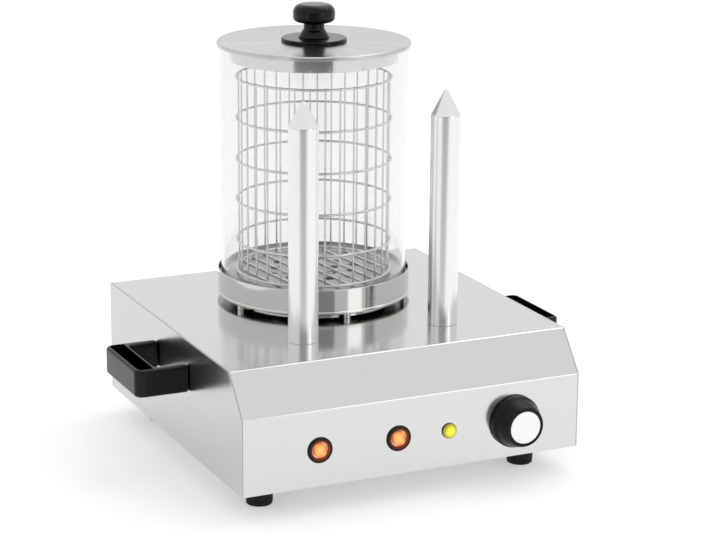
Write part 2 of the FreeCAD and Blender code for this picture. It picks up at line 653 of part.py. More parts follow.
def make_steam_side():
    """Basin, heater and the seat ring, steam plate and glass that stand on them."""
    r = s.basin_r
    wall = s.basin_t
    floor = -s.basin_depth
    cup = [(0, floor), (r + wall, floor), (r + wall, 0), (s.basin_flange_r, 0), (s.basin_flange_r, wall),
           (r, wall), (r, floor + wall), (0, floor + wall)]
    node("water_basin", place(turned("basin", cup), 0, s.pot_y, top_z))

    # A clamp bar on one stud holds the heater up against the basin's floor
    stud_hole = s.clamp_stud_r + s.screw_gap
    heater = cylinder("heater_disc", s.heater_r, s.heater_t, 0, s.pot_y, basin_floor_z, "-z")
    pass_hole = drilling("heater_hole", s.heater_hole_r, s.heater_t, 0, s.pot_y, basin_floor_z, "-z")
    node("basin_heater", cut("heater_ring", heater, [pass_hole]))
    bar_z = basin_floor_z - s.heater_t - s.clamp_t
    bar = box("clamp_bar", s.clamp_l, s.clamp_w, s.clamp_t, -(s.clamp_l / 2), s.pot_y - s.clamp_w / 2, bar_z)
    bar_hole = drilling("clamp_hole", stud_hole, s.clamp_t, 0, s.pot_y, bar_z)
    node("heater_clamp_plate", cut("clamp", bar, [bar_hole]))
    node("heater_stud", rod("stud_rod", s.clamp_stud_r, s.clamp_stud_l, 0, s.pot_y, basin_floor_z, "-z"))
    node("heater_nut", nut("stud_nut", s.clamp_nut_r, s.clamp_nut_h, stud_hole, 0, s.pot_y, bar_z))

    t = s.ring_t
    section = [(s.ring_hole_r, 0), (s.ring_r, 0), (s.ring_r, s.ring_h), (s.ring_r - t, s.ring_h),
               (s.ring_r - t, t), (s.ring_hole_r, t)]
    node("seat_ring", place(turned("ring", section), 0, s.pot_y, top_z + s.ring_lift))
    feet = []
    foot_at = s.ring_r - s.ring_foot_r - t
    count = int(s.ring_feet.value)
    for i in range(count):
        angle = 360.0 / count * i + RING_FOOT_TURN
        feet.append(rod(f"ring_foot_{i}", s.ring_foot_r, s.ring_lift, foot_at * cosine(angle),
                        s.pot_y + foot_at * sine(angle), top_z))
    node("seat_ring_feet", group("ring_foot_set", feet))

    # The perforated plate hangs over a skirt that stands on the ring's floor
    skirt = s.ring_r - t - s.plate_gap
    pt = s.plate_t
    cap = turned("plate_cap", [(0, 0), (0, -pt), (skirt - pt, -pt), (skirt - pt, -s.plate_h), (skirt, -s.plate_h),
                               (skirt, 0)])
    place(cap, 0, s.pot_y, plate_z)
    holes = []
    for j in range(-STEAM_ROWS, STEAM_ROWS + 1):
        for i in range(-STEAM_ROWS - min(0, j), STEAM_ROWS + 1 - max(0, j)):
            holes.append(drilling(f"steam_hole_{j + STEAM_ROWS}_{i + STEAM_ROWS}", s.plate_hole_r, pt * 3,
                                  s.plate_pitch * (i + j / 2), s.pot_y + s.plate_pitch * j * math.sqrt(0.75),
                                  plate_z - pt * 2))
    node("steam_plate", cut("plate", cap, holes))

    bore = s.glass_r - s.glass_t
    tube = turned("tube", [(bore, 0), (s.glass_r, 0), (s.glass_r, s.glass_h), (bore, s.glass_h)])
    node("glass_cylinder", place(tube, 0, s.pot_y, plate_z))


def make_basket():
    """The sausage basket: hoops, upright wires inside them, and wires across the floor."""
    wire = s.hoop_wire
    half = s.upright_wire / 2
    inner_r = s.basket_r - wire
    turn = FreeCAD.Rotation(Z_AXIS, s.basket_turn.value)
    # The lowest hoop lies on the floor wires, and the uprights stand on that level too
    floor_top = s.upright_wire
    levels = [floor_top] + [s.basket_h - wire / 2 - s.hoop_pitch * k for k in range(HOOPS - 1)]
    count = int(s.uprights.value)
    # Each hoop has a corner at every upright that is welded to it
    hoops = [cut(f"hoop_{k}", prism(f"hoop_outside_{k}", count, s.basket_r, wire, z=level),
                 [prism(f"hoop_inside_{k}", count, inner_r, wire, z=level)]) for k, level in enumerate(levels)]
    node("basket_hoops", place(group("hoop_set", hoops), 0, s.pot_y, plate_z, turn))

    wires = []
    upright_r = inner_r - half
    length = s.basket_h + wire / 2 - floor_top
    for i in range(count):
        angle = 360.0 / count * i
        upright = prism(f"upright_{i}", WIRE_SIDES, half, length)
        wires.append(place(upright, upright_r * cosine(angle), upright_r * sine(angle), floor_top,
                           FreeCAD.Rotation(Z_AXIS, angle)))
    # Floor wires end under the lowest hoop, a corner of each below and above
    edge_down = TURNS["+y"].multiply(FreeCAD.Rotation(Z_AXIS, 90))
    reach = inner_r + wire / 2
    across = int(inner_r.value / s.grid_pitch.value)
    for i in range(-across, across + 1):
        x = s.grid_pitch * i
        chord = root(reach * reach - x * x)
        wires.append(place(prism(f"floor_wire_{i + across}", WIRE_SIDES, half, chord * 2), x, -chord, half,
                           edge_down))
    node("basket_wires", place(group("wire_set", wires), 0, s.pot_y, plate_z, turn))


def make_lid():
    """The lid with its collar, heat guard, knob and screw."""
    t = s.lid_t
    hole = s.lid_screw_r + s.screw_gap
    disc = turned("lid_disc", [(hole, -t), (s.lid_r - t, -t), (s.lid_r - t, -s.lid_rim), (s.lid_r, -s.lid_rim),
                               (s.lid_r, 0), (hole, 0)])
    node("lid", place(disc, 0, s.pot_y, lid_top_z))
    collar = turned("collar", [(s.collar_r - s.collar_t, -s.collar_h), (s.collar_r, -s.collar_h),
                               (s.collar_r, 0), (s.collar_r - s.collar_t, 0)])
    node("lid_collar", place(collar, 0, s.pot_y, glass_top_z))
    guard = turned("guard", [(hole, 0), (s.guard_r, 0), (s.guard_r, s.guard_t), (hole, s.guard_t)])
    node("lid_heat_guard", place(guard, 0, s.pot_y, lid_top_z))

    h = s.lid_knob_h
    head = h - s.lid_knob_head_h
    bore = s.lid_screw_r + s.shaft_gap
    depth = s.lid_screw_l + s.shaft_gap
    knob = turned("lid_knob_turned", [
        (bore, 0), (s.lid_knob_foot_r, 0), (s.lid_knob_neck_r, s.lid_knob_flare), (s.lid_knob_neck_r, head),
        (s.lid_knob_head_r, head), (s.lid_knob_head_r, h - s.lid_knob_bevel), (s.lid_knob_crown_r, h),
        (0, h), (0, depth), (bore, depth)])
    node("lid_knob", place(knob, 0, s.pot_y, lid_top_z + s.guard_t))
    node("lid_knob_screw", screw("lid_knob_screw", s.lid_screw_r, s.lid_t + s.guard_t + s.lid_screw_l,
                                 0, s.pot_y, glass_top_z, "+z"))


def make_spikes():
    """Polished bun spikes on threaded studs, each with a cartridge heater pushed up inside."""
    washers = []
    nuts = []
    for side, x in (("left", -s.spike_x), ("right", s.spike_x)):
        shoulder = s.spike_h - s.spike_cone
        bore_top = s.spike_heater_l + s.spike_bore_end - s.spike_stud_l
        spike = turned(f"{side}_spike_turned", [
            (s.spike_bore_r, -s.spike_stud_l), (s.spike_stud_r, -s.spike_stud_l), (s.spike_stud_r, 0),
            (s.spike_r, 0), (s.spike_r, shoulder), (s.spike_tip_r, s.spike_h), (0, s.spike_h), (0, bore_top),
            (s.spike_bore_r, bore_top)])
        node(f"{side}_bun_spike", place(spike, x, s.spike_y, top_z))
        node(f"{side}_spike_heater", cylinder(f"{side}_cartridge", s.spike_heater_r, s.spike_heater_l, x,
                                              s.spike_y, top_z - s.spike_stud_l))
        bore = s.spike_stud_r + s.screw_gap
        washer = rod(f"{side}_washer_blank", s.spike_washer_r, s.spike_washer_t, x, s.spike_y, under_top_z, "-z")
        hole = drilling(f"{side}_washer_hole", bore, s.spike_washer_t, x, s.spike_y, under_top_z, "-z")
        washers.append(cut(f"{side}_washer", washer, [hole]))
        nuts.append(nut(f"{side}_spike_nut", s.spike_nut_r, s.spike_nut_h, bore, x, s.spike_y,
                        under_top_z - s.spike_washer_t))
    node("spike_washers", group("spike_washer_set", washers))
    node("spike_nuts", group("spike_nut_set", nuts))


def make_switch(side, x):
    """A round rocker switch: barrel with bezel, and the lit rocker on its cross pin."""
    bezel = turned(f"{side}_bezel_turned", [
        (0, 0), (s.switch_bezel_r, 0), (s.switch_bezel_r - s.switch_bevel, s.switch_bezel_t), (0, s.switch_bezel_t)])
    place(bezel, x, front_y, control_z, TURNS["-y"])
    barrel = rod(f"{side}_switch_barrel", s.switch_barrel_r, s.switch_barrel_l, x, front_y, control_z, "+y")
    back = front_y + s.switch_barrel_l
    blades = [box(f"{side}_switch_blade_{i}", s.blade_t, s.blade_l, s.blade_w, x - s.blade_t / 2 + offset,
                  back, control_z - s.blade_w / 2) for i, offset in enumerate((-s.blade_gap, s.blade_gap))]
    pivot_y = front_y + s.rocker_pivot
    well = cylinder(f"{side}_rocker_well", s.switch_well_r, s.switch_bezel_t + s.switch_well_l, x,
                    front_y + s.switch_well_l, control_z, "-y")
    pin_reach = s.switch_well_r + s.rocker_pin_in
    socket = cylinder(f"{side}_rocker_socket", s.rocker_pin_r + s.rocker_pin_gap, (pin_reach + s.fit_gap) * 2,
                      x - pin_reach - s.fit_gap, pivot_y, control_z, "+x")
    node(f"{side}_switch_body", cut(f"{side}_switch", fused(f"{side}_switch_whole", [bezel, barrel] + blades),
                                    [well, socket]))

    r = s.rocker_r
    rise = s.rocker_rise
    dip = s.rocker_dip
    edge = s.rocker_edge
    profile = [(-rise, -r), (-dip, 0), (-rise, r), (edge, r), (s.rocker_depth, 0), (edge, -r)]
    slab = padded(f"{side}_rocker_slab", "YZ_Plane", profile, r * 2)
    place(slab, x=-r)
    disc = cylinder(f"{side}_rocker_disc", r, r * 2, 0, r, 0, "-y")
    face = doc.addObject("Part::Common", f"{side}_rocker_face")
    face.Base = slab
    face.Tool = disc
    pin = cylinder(f"{side}_rocker_pin", s.rocker_pin_r, pin_reach * 2, -pin_reach, 0, 0, "+x")
    rocker = fused(f"{side}_rocker_whole", [face, pin])
    # At rest the switch is on: the rocker's upper half is pressed in
    place(rocker, x, pivot_y, control_z, FreeCAD.Rotation(X_AXIS, -s.rocker_tilt.value))
    node(f"{side}_switch_rocker", rocker)


def make_lamp():
    """The yellow pilot lamp between the switches and the knob."""
    bezel = cylinder("lamp_bezel", s.lamp_bezel_r, s.lamp_bezel_t, s.lamp_x, front_y, control_z, "-y")
    barrel = rod("lamp_barrel", s.lamp_barrel_r, s.lamp_barrel_l, s.lamp_x, front_y, control_z, "+y")
    node("pilot_lamp_body", fused("lamp_whole", [bezel, barrel]))
    h = s.lamp_lens_h
    r = s.lamp_lens_r
    lens = turned("lens_turned", [(0, 0), (r, 0), (r, h - s.lamp_lens_bevel), (s.lamp_lens_face_r, h), (0, h)])
    node("pilot_lamp_lens", place(lens, s.lamp_x, front_y - s.lamp_bezel_t, control_z, TURNS["-y"]))


def make_thermostat():
    """Capillary thermostat behind the panel, with its shaft, knob, cap, bulb and clip."""
    inner_y = front_y + s.sheet_t
    case = box("stat_case", s.stat_w, s.stat_l, s.stat_h, s.knob_x - s.stat_w / 2, inner_y,
               control_z - s.stat_h / 2)
    tools = [cylinder("stat_shaft_bore", s.shaft_r + s.shaft_gap, s.shaft_in + s.shaft_gap, s.knob_x, inner_y,
                      control_z, "+y")]
    screws = []
    for i, x in enumerate(stat_screw_xs()):
        tools.append(drilling(f"stat_screw_bore_{i}", s.stat_screw_r + s.shaft_gap, s.stat_screw_l, x, inner_y,
                              control_z, "+y"))
        screws.append(screw(f"stat_screw_{i}", s.stat_screw_r, s.stat_screw_l, x, front_y, control_z, "+y"))
    node("thermostat_body", cut("stat_body", case, tools))
    node("thermostat_screws", group("stat_screw_set", screws))
    node("thermostat_shaft", cylinder("stat_shaft", s.shaft_r, s.shaft_in + s.sheet_t + s.shaft_out, s.knob_x,
                                      inner_y + s.shaft_in, control_z, "-y"))

    bore = s.shaft_r
    low = s.knob_gap
    rim = s.knob_reach - s.knob_rim_dip
    face = s.knob_reach - s.cap_t
    seat_r = s.cap_r + s.cap_gap
    grip = turned("knob_turned", [
        (bore, s.knob_hollow_h), (s.knob_hollow_r, s.knob_hollow_h), (s.knob_hollow_r, low), (s.skirt_r, low),
        (s.grip_r + s.grip_draft, low + s.skirt_t), (s.grip_r, rim), (seat_r, rim), (seat_r, face), (0, face),
        (0, s.shaft_out), (bore, s.shaft_out)])
    node("control_knob", place(grip, s.knob_x, front_y, control_z, TURNS["-y"]))
    cap = cylinder("cap_disc", s.cap_r, s.cap_t, s.knob_x, front_y - face, control_z, "-y")
    node("knob_cap", cap)

    bulb_z = basin_floor_z - s.bulb_r
    bulb_y = s.pot_y - s.bulb_off
    half = s.bulb_l / 2
    node("thermostat_bulb", rod("bulb_rod", s.bulb_r, s.bulb_l, -half, bulb_y, bulb_z, "+x"))
    block = box("clip_block", s.clip_w, (s.bulb_r + s.clip_t) * 2, s.bulb_r * 2 + s.clip_t, -(s.clip_w / 2),
                bulb_y - s.bulb_r - s.clip_t, basin_floor_z - s.bulb_r * 2 - s.clip_t)
    groove = drilling("clip_groove", s.bulb_r + s.shaft_gap, s.clip_w * 3, -s.clip_w * 1.5, bulb_y, bulb_z, "+x")
    node("bulb_clip", cut("clip", block, [groove]))

    # The capillary leaves the bulb's end and enters the thermostat's back in two bends
    start = (half, bulb_y, bulb_z)
    finish = (s.knob_x, inner_y + s.stat_l, control_z)
    corners = [start, (s.knob_x, bulb_y, bulb_z), (s.knob_x, (bulb_y + inner_y + s.stat_l) / 2, control_z), finish]
    route = [FreeCAD.Vector(*[v.value for v in point]) for point in corners]
    tube = doc.addObject("Part::Feature", "capillary_tube")
    tube.Shape = bent_tube(route, s.capillary_r.value, s.capillary_bend.value)
    node("capillary", tube)


def bent_tube(route, radius, bend):
    """A thin six-sided tube along straight runs joined by tangent arcs of one radius."""
    edges = []
    start = route[0]
    for before, corner, after in zip(route, route[1:], route[2:]):
        come = (corner - before).normalize()
        leave = (after - corner).normalize()
        turn = come.getAngle(leave)
        back = bend * math.tan(turn / 2)
        first = corner - come * back
        last = corner + leave * back
        inward = (leave - come).normalize()
        middle = corner + inward * (bend / math.cos(turn / 2) - bend)
        edges.append(Part.LineSegment(start, first).toShape())
        edges.append(Part.Arc(first, middle, last).toShape())
        start = last
    edges.append(Part.LineSegment(start, route[-1]).toShape())
    path = Part.Wire(edges)
    ring = Part.makeCircle(radius, route[0], route[1] - route[0]).discretize(WIRE_SIDES + 1)
    section = Part.makePolygon(ring)
    tube = path.makePipeShell([section], True, False)
    expected = Part.Face(section).Area * path.Length
    print(f"capillary: {path.Length:.1f} mm long, volume {tube.Volume / expected:.4f} of section times length")
    return tube


def make_wiring_parts():
    """Safety cut-out, terminal block, earth stud, and the cord gland at the back."""
    node("safety_cutout", cylinder("cutout_can", s.cutout_r, s.cutout_h, 0, s.pot_y + s.cutout_off,
                                   basin_floor_z, "-z"))
    floor_z = bottom_z + s.cover_t
    block = box("terminal_moulding", s.terminal_l, s.terminal_w, s.terminal_h, s.terminal_x - s.terminal_l / 2,
                s.terminal_y - s.terminal_w / 2, floor_z)
    ways = int(s.terminal_ways.value)
    way_w = s.terminal_l / s.terminal_ways
    holes = []
    for i in range(ways):
        x = s.terminal_x + way_w * (i - (ways - 1) / 2) - s.terminal_bore / 2
        holes.append(box(f"wire_way_{i}", s.terminal_bore, s.terminal_w, s.terminal_bore, x,
                         s.terminal_y - s.terminal_w / 2, floor_z + s.terminal_bore))
    node("terminal_block", cut("terminals", block, holes))
    node("earth_stud", rod("earth_rod", s.earth_r, s.earth_l + s.cover_t, earth_x, s.terminal_y, bottom_z))
    gland_z = bottom_z + s.gland_z
    gland = turned("gland_turned", [
        (s.gland_bore_r, -s.gland_barrel_l), (s.gland_barrel_r, -s.gland_barrel_l), (s.gland_barrel_r, 0),
        (s.gland_flange_r, 0), (s.gland_flange_r, s.gland_flange_t), (s.gland_nose_r, s.gland_flange_t),
        (s.gland_nose_r, s.gland_reach), (s.gland_bore_r, s.gland_reach)])
    node("cord_gland", place(gland, s.gland_x, back_y, gland_z, TURNS["+y"]))
    node("gland_nut", nut("gland_lock_nut", s.gland_nut_r, s.gland_nut_h, s.gland_barrel_r + s.screw_gap,
                          s.gland_x, back_y - s.sheet_t, gland_z, "-y"))


make_casing()
make_feet()
make_handles()
make_steam_side()
make_basket()
make_lid()
make_spikes()
make_switch("left", s.switch_left_x)
make_switch("right", s.switch_right_x)
make_lamp()
make_thermostat()
make_wiring_parts()
doc.recompute()

# Every object has to be sound before anything is written
for thing in doc.Objects:
    faults = [word for word in thing.State if word in ("Invalid", "Error")]
    if faults:
        raise RuntimeError(f"{thing.Name}: {faults}")
for name, thing in nodes:
    if thing.Shape.isNull() or not thing.Shape.isValid() or not thing.Shape.Solids:
        raise RuntimeError(f"{name} has no sound shape")

os.makedirs("parts", exist_ok=True)
for name, thing in nodes:
    thing.Shape.exportStep(f"parts/{name}.step")
print(f"{len(nodes)} nodes, {sum(len(thing.Shape.Solids) for name, thing in nodes)} solids")
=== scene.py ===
# %% [markdown]
# # A hot dog warmer
#
# Snack bars keep sausages warm in this machine. They stand in a wire basket inside a glass
# cylinder, steam rises to them through a perforated plate, and a split bun is pushed over each of
# the two heated spikes. The CAD model has every piece at its real size. This notebook gives the
# pieces their rounded edges and their finishes: brushed and polished steel, glass, moulded black
# plastic, rubber and lit lenses.
#
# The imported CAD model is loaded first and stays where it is. Pieces whose shape is right already
# only get a material. The others are modelled again on the same spot and replace the CAD piece.

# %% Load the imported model
import json
import math

import bmesh
import bpy
from mathutils import Matrix, Vector

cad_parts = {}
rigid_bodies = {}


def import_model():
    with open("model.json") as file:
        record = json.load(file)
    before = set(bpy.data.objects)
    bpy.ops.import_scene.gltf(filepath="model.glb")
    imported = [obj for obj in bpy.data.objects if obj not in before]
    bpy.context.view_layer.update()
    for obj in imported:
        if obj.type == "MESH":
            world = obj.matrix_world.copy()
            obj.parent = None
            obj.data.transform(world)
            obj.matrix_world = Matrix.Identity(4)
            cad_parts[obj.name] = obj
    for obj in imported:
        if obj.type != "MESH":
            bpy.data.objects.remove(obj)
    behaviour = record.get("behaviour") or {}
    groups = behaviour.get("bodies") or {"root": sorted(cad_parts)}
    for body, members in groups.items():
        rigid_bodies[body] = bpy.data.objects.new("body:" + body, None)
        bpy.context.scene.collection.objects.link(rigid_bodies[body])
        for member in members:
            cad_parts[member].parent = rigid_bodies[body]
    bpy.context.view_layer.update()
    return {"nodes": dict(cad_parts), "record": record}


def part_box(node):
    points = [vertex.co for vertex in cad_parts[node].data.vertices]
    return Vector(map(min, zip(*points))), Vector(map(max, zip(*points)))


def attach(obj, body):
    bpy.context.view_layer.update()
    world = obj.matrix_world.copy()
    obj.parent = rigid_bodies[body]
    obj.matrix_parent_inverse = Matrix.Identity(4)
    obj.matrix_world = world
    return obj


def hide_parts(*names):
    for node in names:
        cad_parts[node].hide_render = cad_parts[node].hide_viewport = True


for thing in list(bpy.data.objects):
    bpy.data.objects.remove(thing)
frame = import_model()
nodes = frame["nodes"]
MM = 0.001

# %% [markdown]
# ## The camera
#
# A camera has a place, a direction and a focal length. These were solved from the photograph: the
# casing's corners and the ellipses of the glass, basket and lid have to land where they are seen.
# The long lens (116 mm on a full frame) is typical of a product photograph, and it keeps the
# casing's edges nearly parallel.

# %% Place the camera
CAMERA_PLACE = Vector((-983.43, -2148.42, 842.25)) * MM
AZIMUTH = math.radians(-25.14)
ELEVATION = math.radians(15.42)
ROLL = math.radians(0.45)
FOCAL_PIXELS = 2303.8
PHOTO_WIDTH = 716

backwards = Vector((math.sin(AZIMUTH) * math.cos(ELEVATION), -math.cos(AZIMUTH) * math.cos(ELEVATION),
                    math.sin(ELEVATION)))
level_right = (-backwards).cross(Vector((0, 0, 1))).normalized()
level_up = level_right.cross(-backwards)
right = math.cos(ROLL) * level_right + math.sin(ROLL) * level_up
up = math.cos(ROLL) * level_up - math.sin(ROLL) * level_right

lens = bpy.data.cameras.new("camera")
lens.sensor_fit = "HORIZONTAL"
lens.sensor_width = 36
lens.lens = FOCAL_PIXELS / PHOTO_WIDTH * lens.sensor_width
lens.clip_end = 100
camera = bpy.data.objects.new("camera", lens)
bpy.context.scene.collection.objects.link(camera)
camera.matrix_world = Matrix.Translation(CAMERA_PLACE) @ Matrix((right, up, backwards)).transposed().to_4x4()
bpy.context.scene.camera = camera
bpy.context.scene.view_settings.view_transform = "Standard"
print(f"lens {lens.lens:.1f} mm")

# %% [markdown]
# ## Colours and nodes
#
# Every material below is a small tree of nodes. One helper turns a hex colour, as a paint program
# shows it, into the linear numbers that Blender works with. Another adds a node with its settings
# and links in one call, so that a tree reads from its first texture to its shader.

# %% Helpers for materials
def hex_colour(code):
    """An sRGB hex code such as #C8C8C4 as linear red, green, blue and alpha."""
    channels = [int(code[i:i + 2], 16) / 255 for i in (1, 3, 5)]
    linear = [c / 12.92 if c <= 0.04045 else ((c + 0.055) / 1.055) ** 2.4 for c in channels]
    return (*linear, 1.0)


def add_node(tree, kind, inputs=None, **settings):
    """Adds a node. An input is given a value, or the output socket that it is linked to."""
    node = tree.nodes.new(kind)
    for name, value in settings.items():
        setattr(node, name, value)
    for name, value in (inputs or {}).items():
        if isinstance(value, bpy.types.NodeSocket):
            tree.links.new(value, node.inputs[name])
        else:
            node.inputs[name].default_value = value
    return node


def new_material(name):
    """An empty material with its shader, ready for textures."""
    material = bpy.data.materials.new(name)
    material.use_nodes = True
    tree = material.node_tree
    tree.nodes.clear()
    shader = add_node(tree, "ShaderNodeBsdfPrincipled")
    add_node(tree, "ShaderNodeOutputMaterial", {"Surface": shader.outputs["BSDF"]})
    return material, tree, shader


def feed(shader, **inputs):
    """Sets the shader's inputs. Underscores in a name stand for spaces."""
    tree = shader.id_data
    for name, value in inputs.items():
        socket = shader.inputs[name.replace("_", " ")]
        if isinstance(value, bpy.types.NodeSocket):
            tree.links.new(value, socket)
        else:
            socket.default_value = value


def grain(tree, spacing, detail=3.0):
    """Noise on the piece's own coordinates, with its spacing along X, Y and Z in millimetres."""
    place = add_node(tree, "ShaderNodeTexCoord")
    stretched = add_node(tree, "ShaderNodeMapping", {
        "Vector": place.outputs["Object"], "Scale": [1 / (step * MM) for step in spacing]})
    return add_node(tree, "ShaderNodeTexNoise", {
        "Vector": stretched.outputs["Vector"], "Scale": 1.0, "Detail": detail, "Roughness": 0.6})


print("#808080 in linear light is", round(hex_colour("#808080")[0], 3))

# %% [markdown]
# ## Stainless steel
#
# The casing is AISI 304 sheet with a brushed finish (grit 240 or so): a belt drags fine scratches
# in one direction, which spread a reflection across them. The scratches are about 0.05 mm wide,
# far below a pixel, so the noise here is drawn at 1 mm across and 60 mm along them. It changes
# the roughness a little from streak to streak and adds a very shallow bump. A cloudy second noise
# stands for wiping marks.

# %% Brushed steel
def brushed_steel(name, code, along, roughness):
    """Sheet brushed along the axis, X or Y."""
    material, tree, shader = new_material(name)
    streak = (60, 1.0, 1.0) if along == "X" else (1.0, 60, 1.0)
    lines = grain(tree, streak).outputs["Fac"]
    smears = grain(tree, (90, 90, 50), 2.0).outputs["Fac"]
    both = add_node(tree, "ShaderNodeMath", {0: lines, 1: smears}, operation="ADD")
    rough = add_node(tree, "ShaderNodeMapRange", {
        "Value": both.outputs[0], "From Max": 2.0, "To Min": roughness - 0.04, "To Max": roughness + 0.04})
    scratches = add_node(tree, "ShaderNodeBump", {"Height": lines, "Distance": 0.0006 * MM})
    feed(shader, Base_Color=hex_colour(code), Metallic=1.0, Roughness=rough.outputs["Result"],
         Normal=scratches.outputs["Normal"])
    return material


# Stainless sheet, brushed from side to side: pale grey, with reflections drawn out softly.
casing_steel = brushed_steel("brushed stainless sheet", "#D7D7D6", "X", 0.14)
# The side sheets are brushed from front to back and a little duller. Their grey is the casing's steel
# darkened as painted shade: an even, darker grey.
side_steel_in_painted_shade = brushed_steel("brushed stainless side sheet, darkened as painted shade", "#CACAC9", "Y", 0.23)
print(casing_steel.name, "and", side_steel_in_painted_shade.name)

# %% [markdown]
# The ring, the lid, its collar and the steam plate are the same steel, spun on a lathe and
# polished. A polished surface mirrors the room, so its roughness is low, with faint clouds where
# it was handled. The spikes are turned aluminium, brighter still.

# %% Polished metals
def polished(name, code, roughness, clouds=0.04):
    """Metal whose mirror is a little duller in faint clouds."""
    material, tree, shader = new_material(name)
    smudges = grain(tree, (35, 35, 35), 4.0).outputs["Fac"]
    rough = add_node(tree, "ShaderNodeMapRange", {
        "Value": smudges, "To Min": max(roughness - clouds, 0.0), "To Max": roughness + clouds})
    dents = add_node(tree, "ShaderNodeBump", {"Height": smudges, "Distance": 0.002 * MM})
    feed(shader, Base_Color=hex_colour(code), Metallic=1.0, Roughness=rough.outputs["Result"],
         Normal=dents.outputs["Normal"])
    return material


# Stainless, spun on a lathe and buffed: it mirrors the casing's top almost sharply. Its grey is darkened as
# painted shade, below the collar's.
ring_steel_in_painted_shade = polished("polished spun stainless, darkened as painted shade", "#CCCCCA", 0.08)
# Stainless strip, rolled and buffed: the clearest mirror of the room.
collar_steel = polished("polished rolled stainless", "#E1E1DF", 0.08)
# Pressed stainless that steam has dulled: a soft mid grey.
plate_steel = polished("dull stainless plate", "#BDBDBB", 0.35, 0.06)
# Drawn stainless wire, electropolished: fine bright lines.
wire_steel = polished("electropolished stainless wire", "#E2E2E0", 0.16)
# Turned aluminium with a satin skin: whiter than steel, with a broad soft stripe.
spike_metal = polished("satin turned aluminium", "#E8E8E8", 0.24, 0.03)
# Zinc plated steel, as on screws and clips: bluish grey and half dull.
zinc = polished("zinc plated steel", "#C3C4C0", 0.35, 0.06)
# Stainless heater tube that heat has tinted: brownish grey.
heater_steel = polished("heat tinted heater sheath", "#7C7468", 0.45, 0.08)
# Drawn copper tube, a little tarnished: reddish with a soft shine.
copper = polished("drawn copper", "#C98A66", 0.3, 0.08)
# Anodised aluminium disc: an even, almost white satin.
cap_metal = polished("satin anodised cap", "#F0F0F0", 0.38, 0.04)
print("polished metals from", ring_steel_in_painted_shade.name, "to", cap_metal.name)

# %% [markdown]
# ## Plastics, rubber and glass
#
# Handles, lid knob and heat guard are bakelite, a hard black thermoset pressed in a polished
# mould: it is glossy with a slight orange peel. The switches and the control knob are black
# polyamide with a finer, duller skin. The feet are carbon-filled rubber, which scatters a broad
# sheen.

# %% Black mouldings and rubber
def moulded(name, code, roughness, peel, depth, shine=0.5):
    """A moulding whose skin has bumps with a spacing and a depth in millimetres."""
    material, tree, shader = new_material(name)
    skin = grain(tree, (peel, peel, peel), 2.0).outputs["Fac"]
    rough = add_node(tree, "ShaderNodeMapRange", {
        "Value": skin, "To Min": roughness - 0.04, "To Max": roughness + 0.04})
    bumps = add_node(tree, "ShaderNodeBump", {"Height": skin, "Distance": depth * MM})
    feed(shader, Base_Color=hex_colour(code), IOR=1.52, Specular_IOR_Level=shine,
         Roughness=rough.outputs["Result"], Normal=bumps.outputs["Normal"])
    return material


# Bakelite from a polished mould: deep black with crisp, slightly wavy glints.
bakelite = moulded("black bakelite", "#060607", 0.14, 4.0, 0.02, 0.22)
# Injection moulded polyamide from a spark-eroded mould: black with a soft sheen.
nylon = moulded("black polyamide", "#08080A", 0.32, 0.8, 0.01, 0.2)
# Moulded rubber: a dull grey-black.
rubber = moulded("black rubber", "#080808", 0.62, 1.2, 0.05, 0.3)
# Pressed ceramic-filled resin, as on thermostats: cream and chalky.
cream = moulded("cream ceramic-filled moulding", "#CFC7AE", 0.5, 1.0, 0.02)
print("mouldings:", bakelite.name, nylon.name, rubber.name, cream.name, sep=", ")

# %% [markdown]
# The cylinder is a drawn borosilicate tube. Its shader bends and mirrors light as glass does,
# with the very faint waviness that drawing leaves along the tube. Only light on its way to a lamp
# or the sky goes straight through, so that the tube throws no dark shadow on the basket.

# %% Glass
glass, tree, shader = new_material("borosilicate glass")
waves = grain(tree, (30, 30, 200), 1.0).outputs["Fac"]
rough = add_node(tree, "ShaderNodeMapRange", {"Value": waves, "To Min": 0.0, "To Max": 0.01})
ripples = add_node(tree, "ShaderNodeBump", {"Height": waves, "Distance": 0.003 * MM})
feed(shader, Base_Color=hex_colour("#F3F3F3"), IOR=1.47, Transmission_Weight=1.0,
     Roughness=rough.outputs["Result"], Normal=ripples.outputs["Normal"])
ray = add_node(tree, "ShaderNodeLightPath")
clear = add_node(tree, "ShaderNodeBsdfTransparent", {"Color": hex_colour("#F9F9F9")})
either = add_node(tree, "ShaderNodeMixShader", {0: ray.outputs["Is Shadow Ray"], 1: shader.outputs["BSDF"],
                                                2: clear.outputs["BSDF"]})
add_node(tree, "ShaderNodeOutputMaterial", {"Surface": either.outputs["Shader"]}, is_active_output=True)
print(glass.name, "bends light by", shader.inputs["IOR"].default_value)

# %% [markdown]
# ## Lit lenses
#
# The rockers and the pilot lamp are coloured polycarbonate with a small lamp behind them. The
# light is brightest in the middle and the colour deepens towards the rim. A lens piece therefore
# carries an attribute called glow, 1 in its middle and 0 at its rim, and the material turns it
# into colour and light.

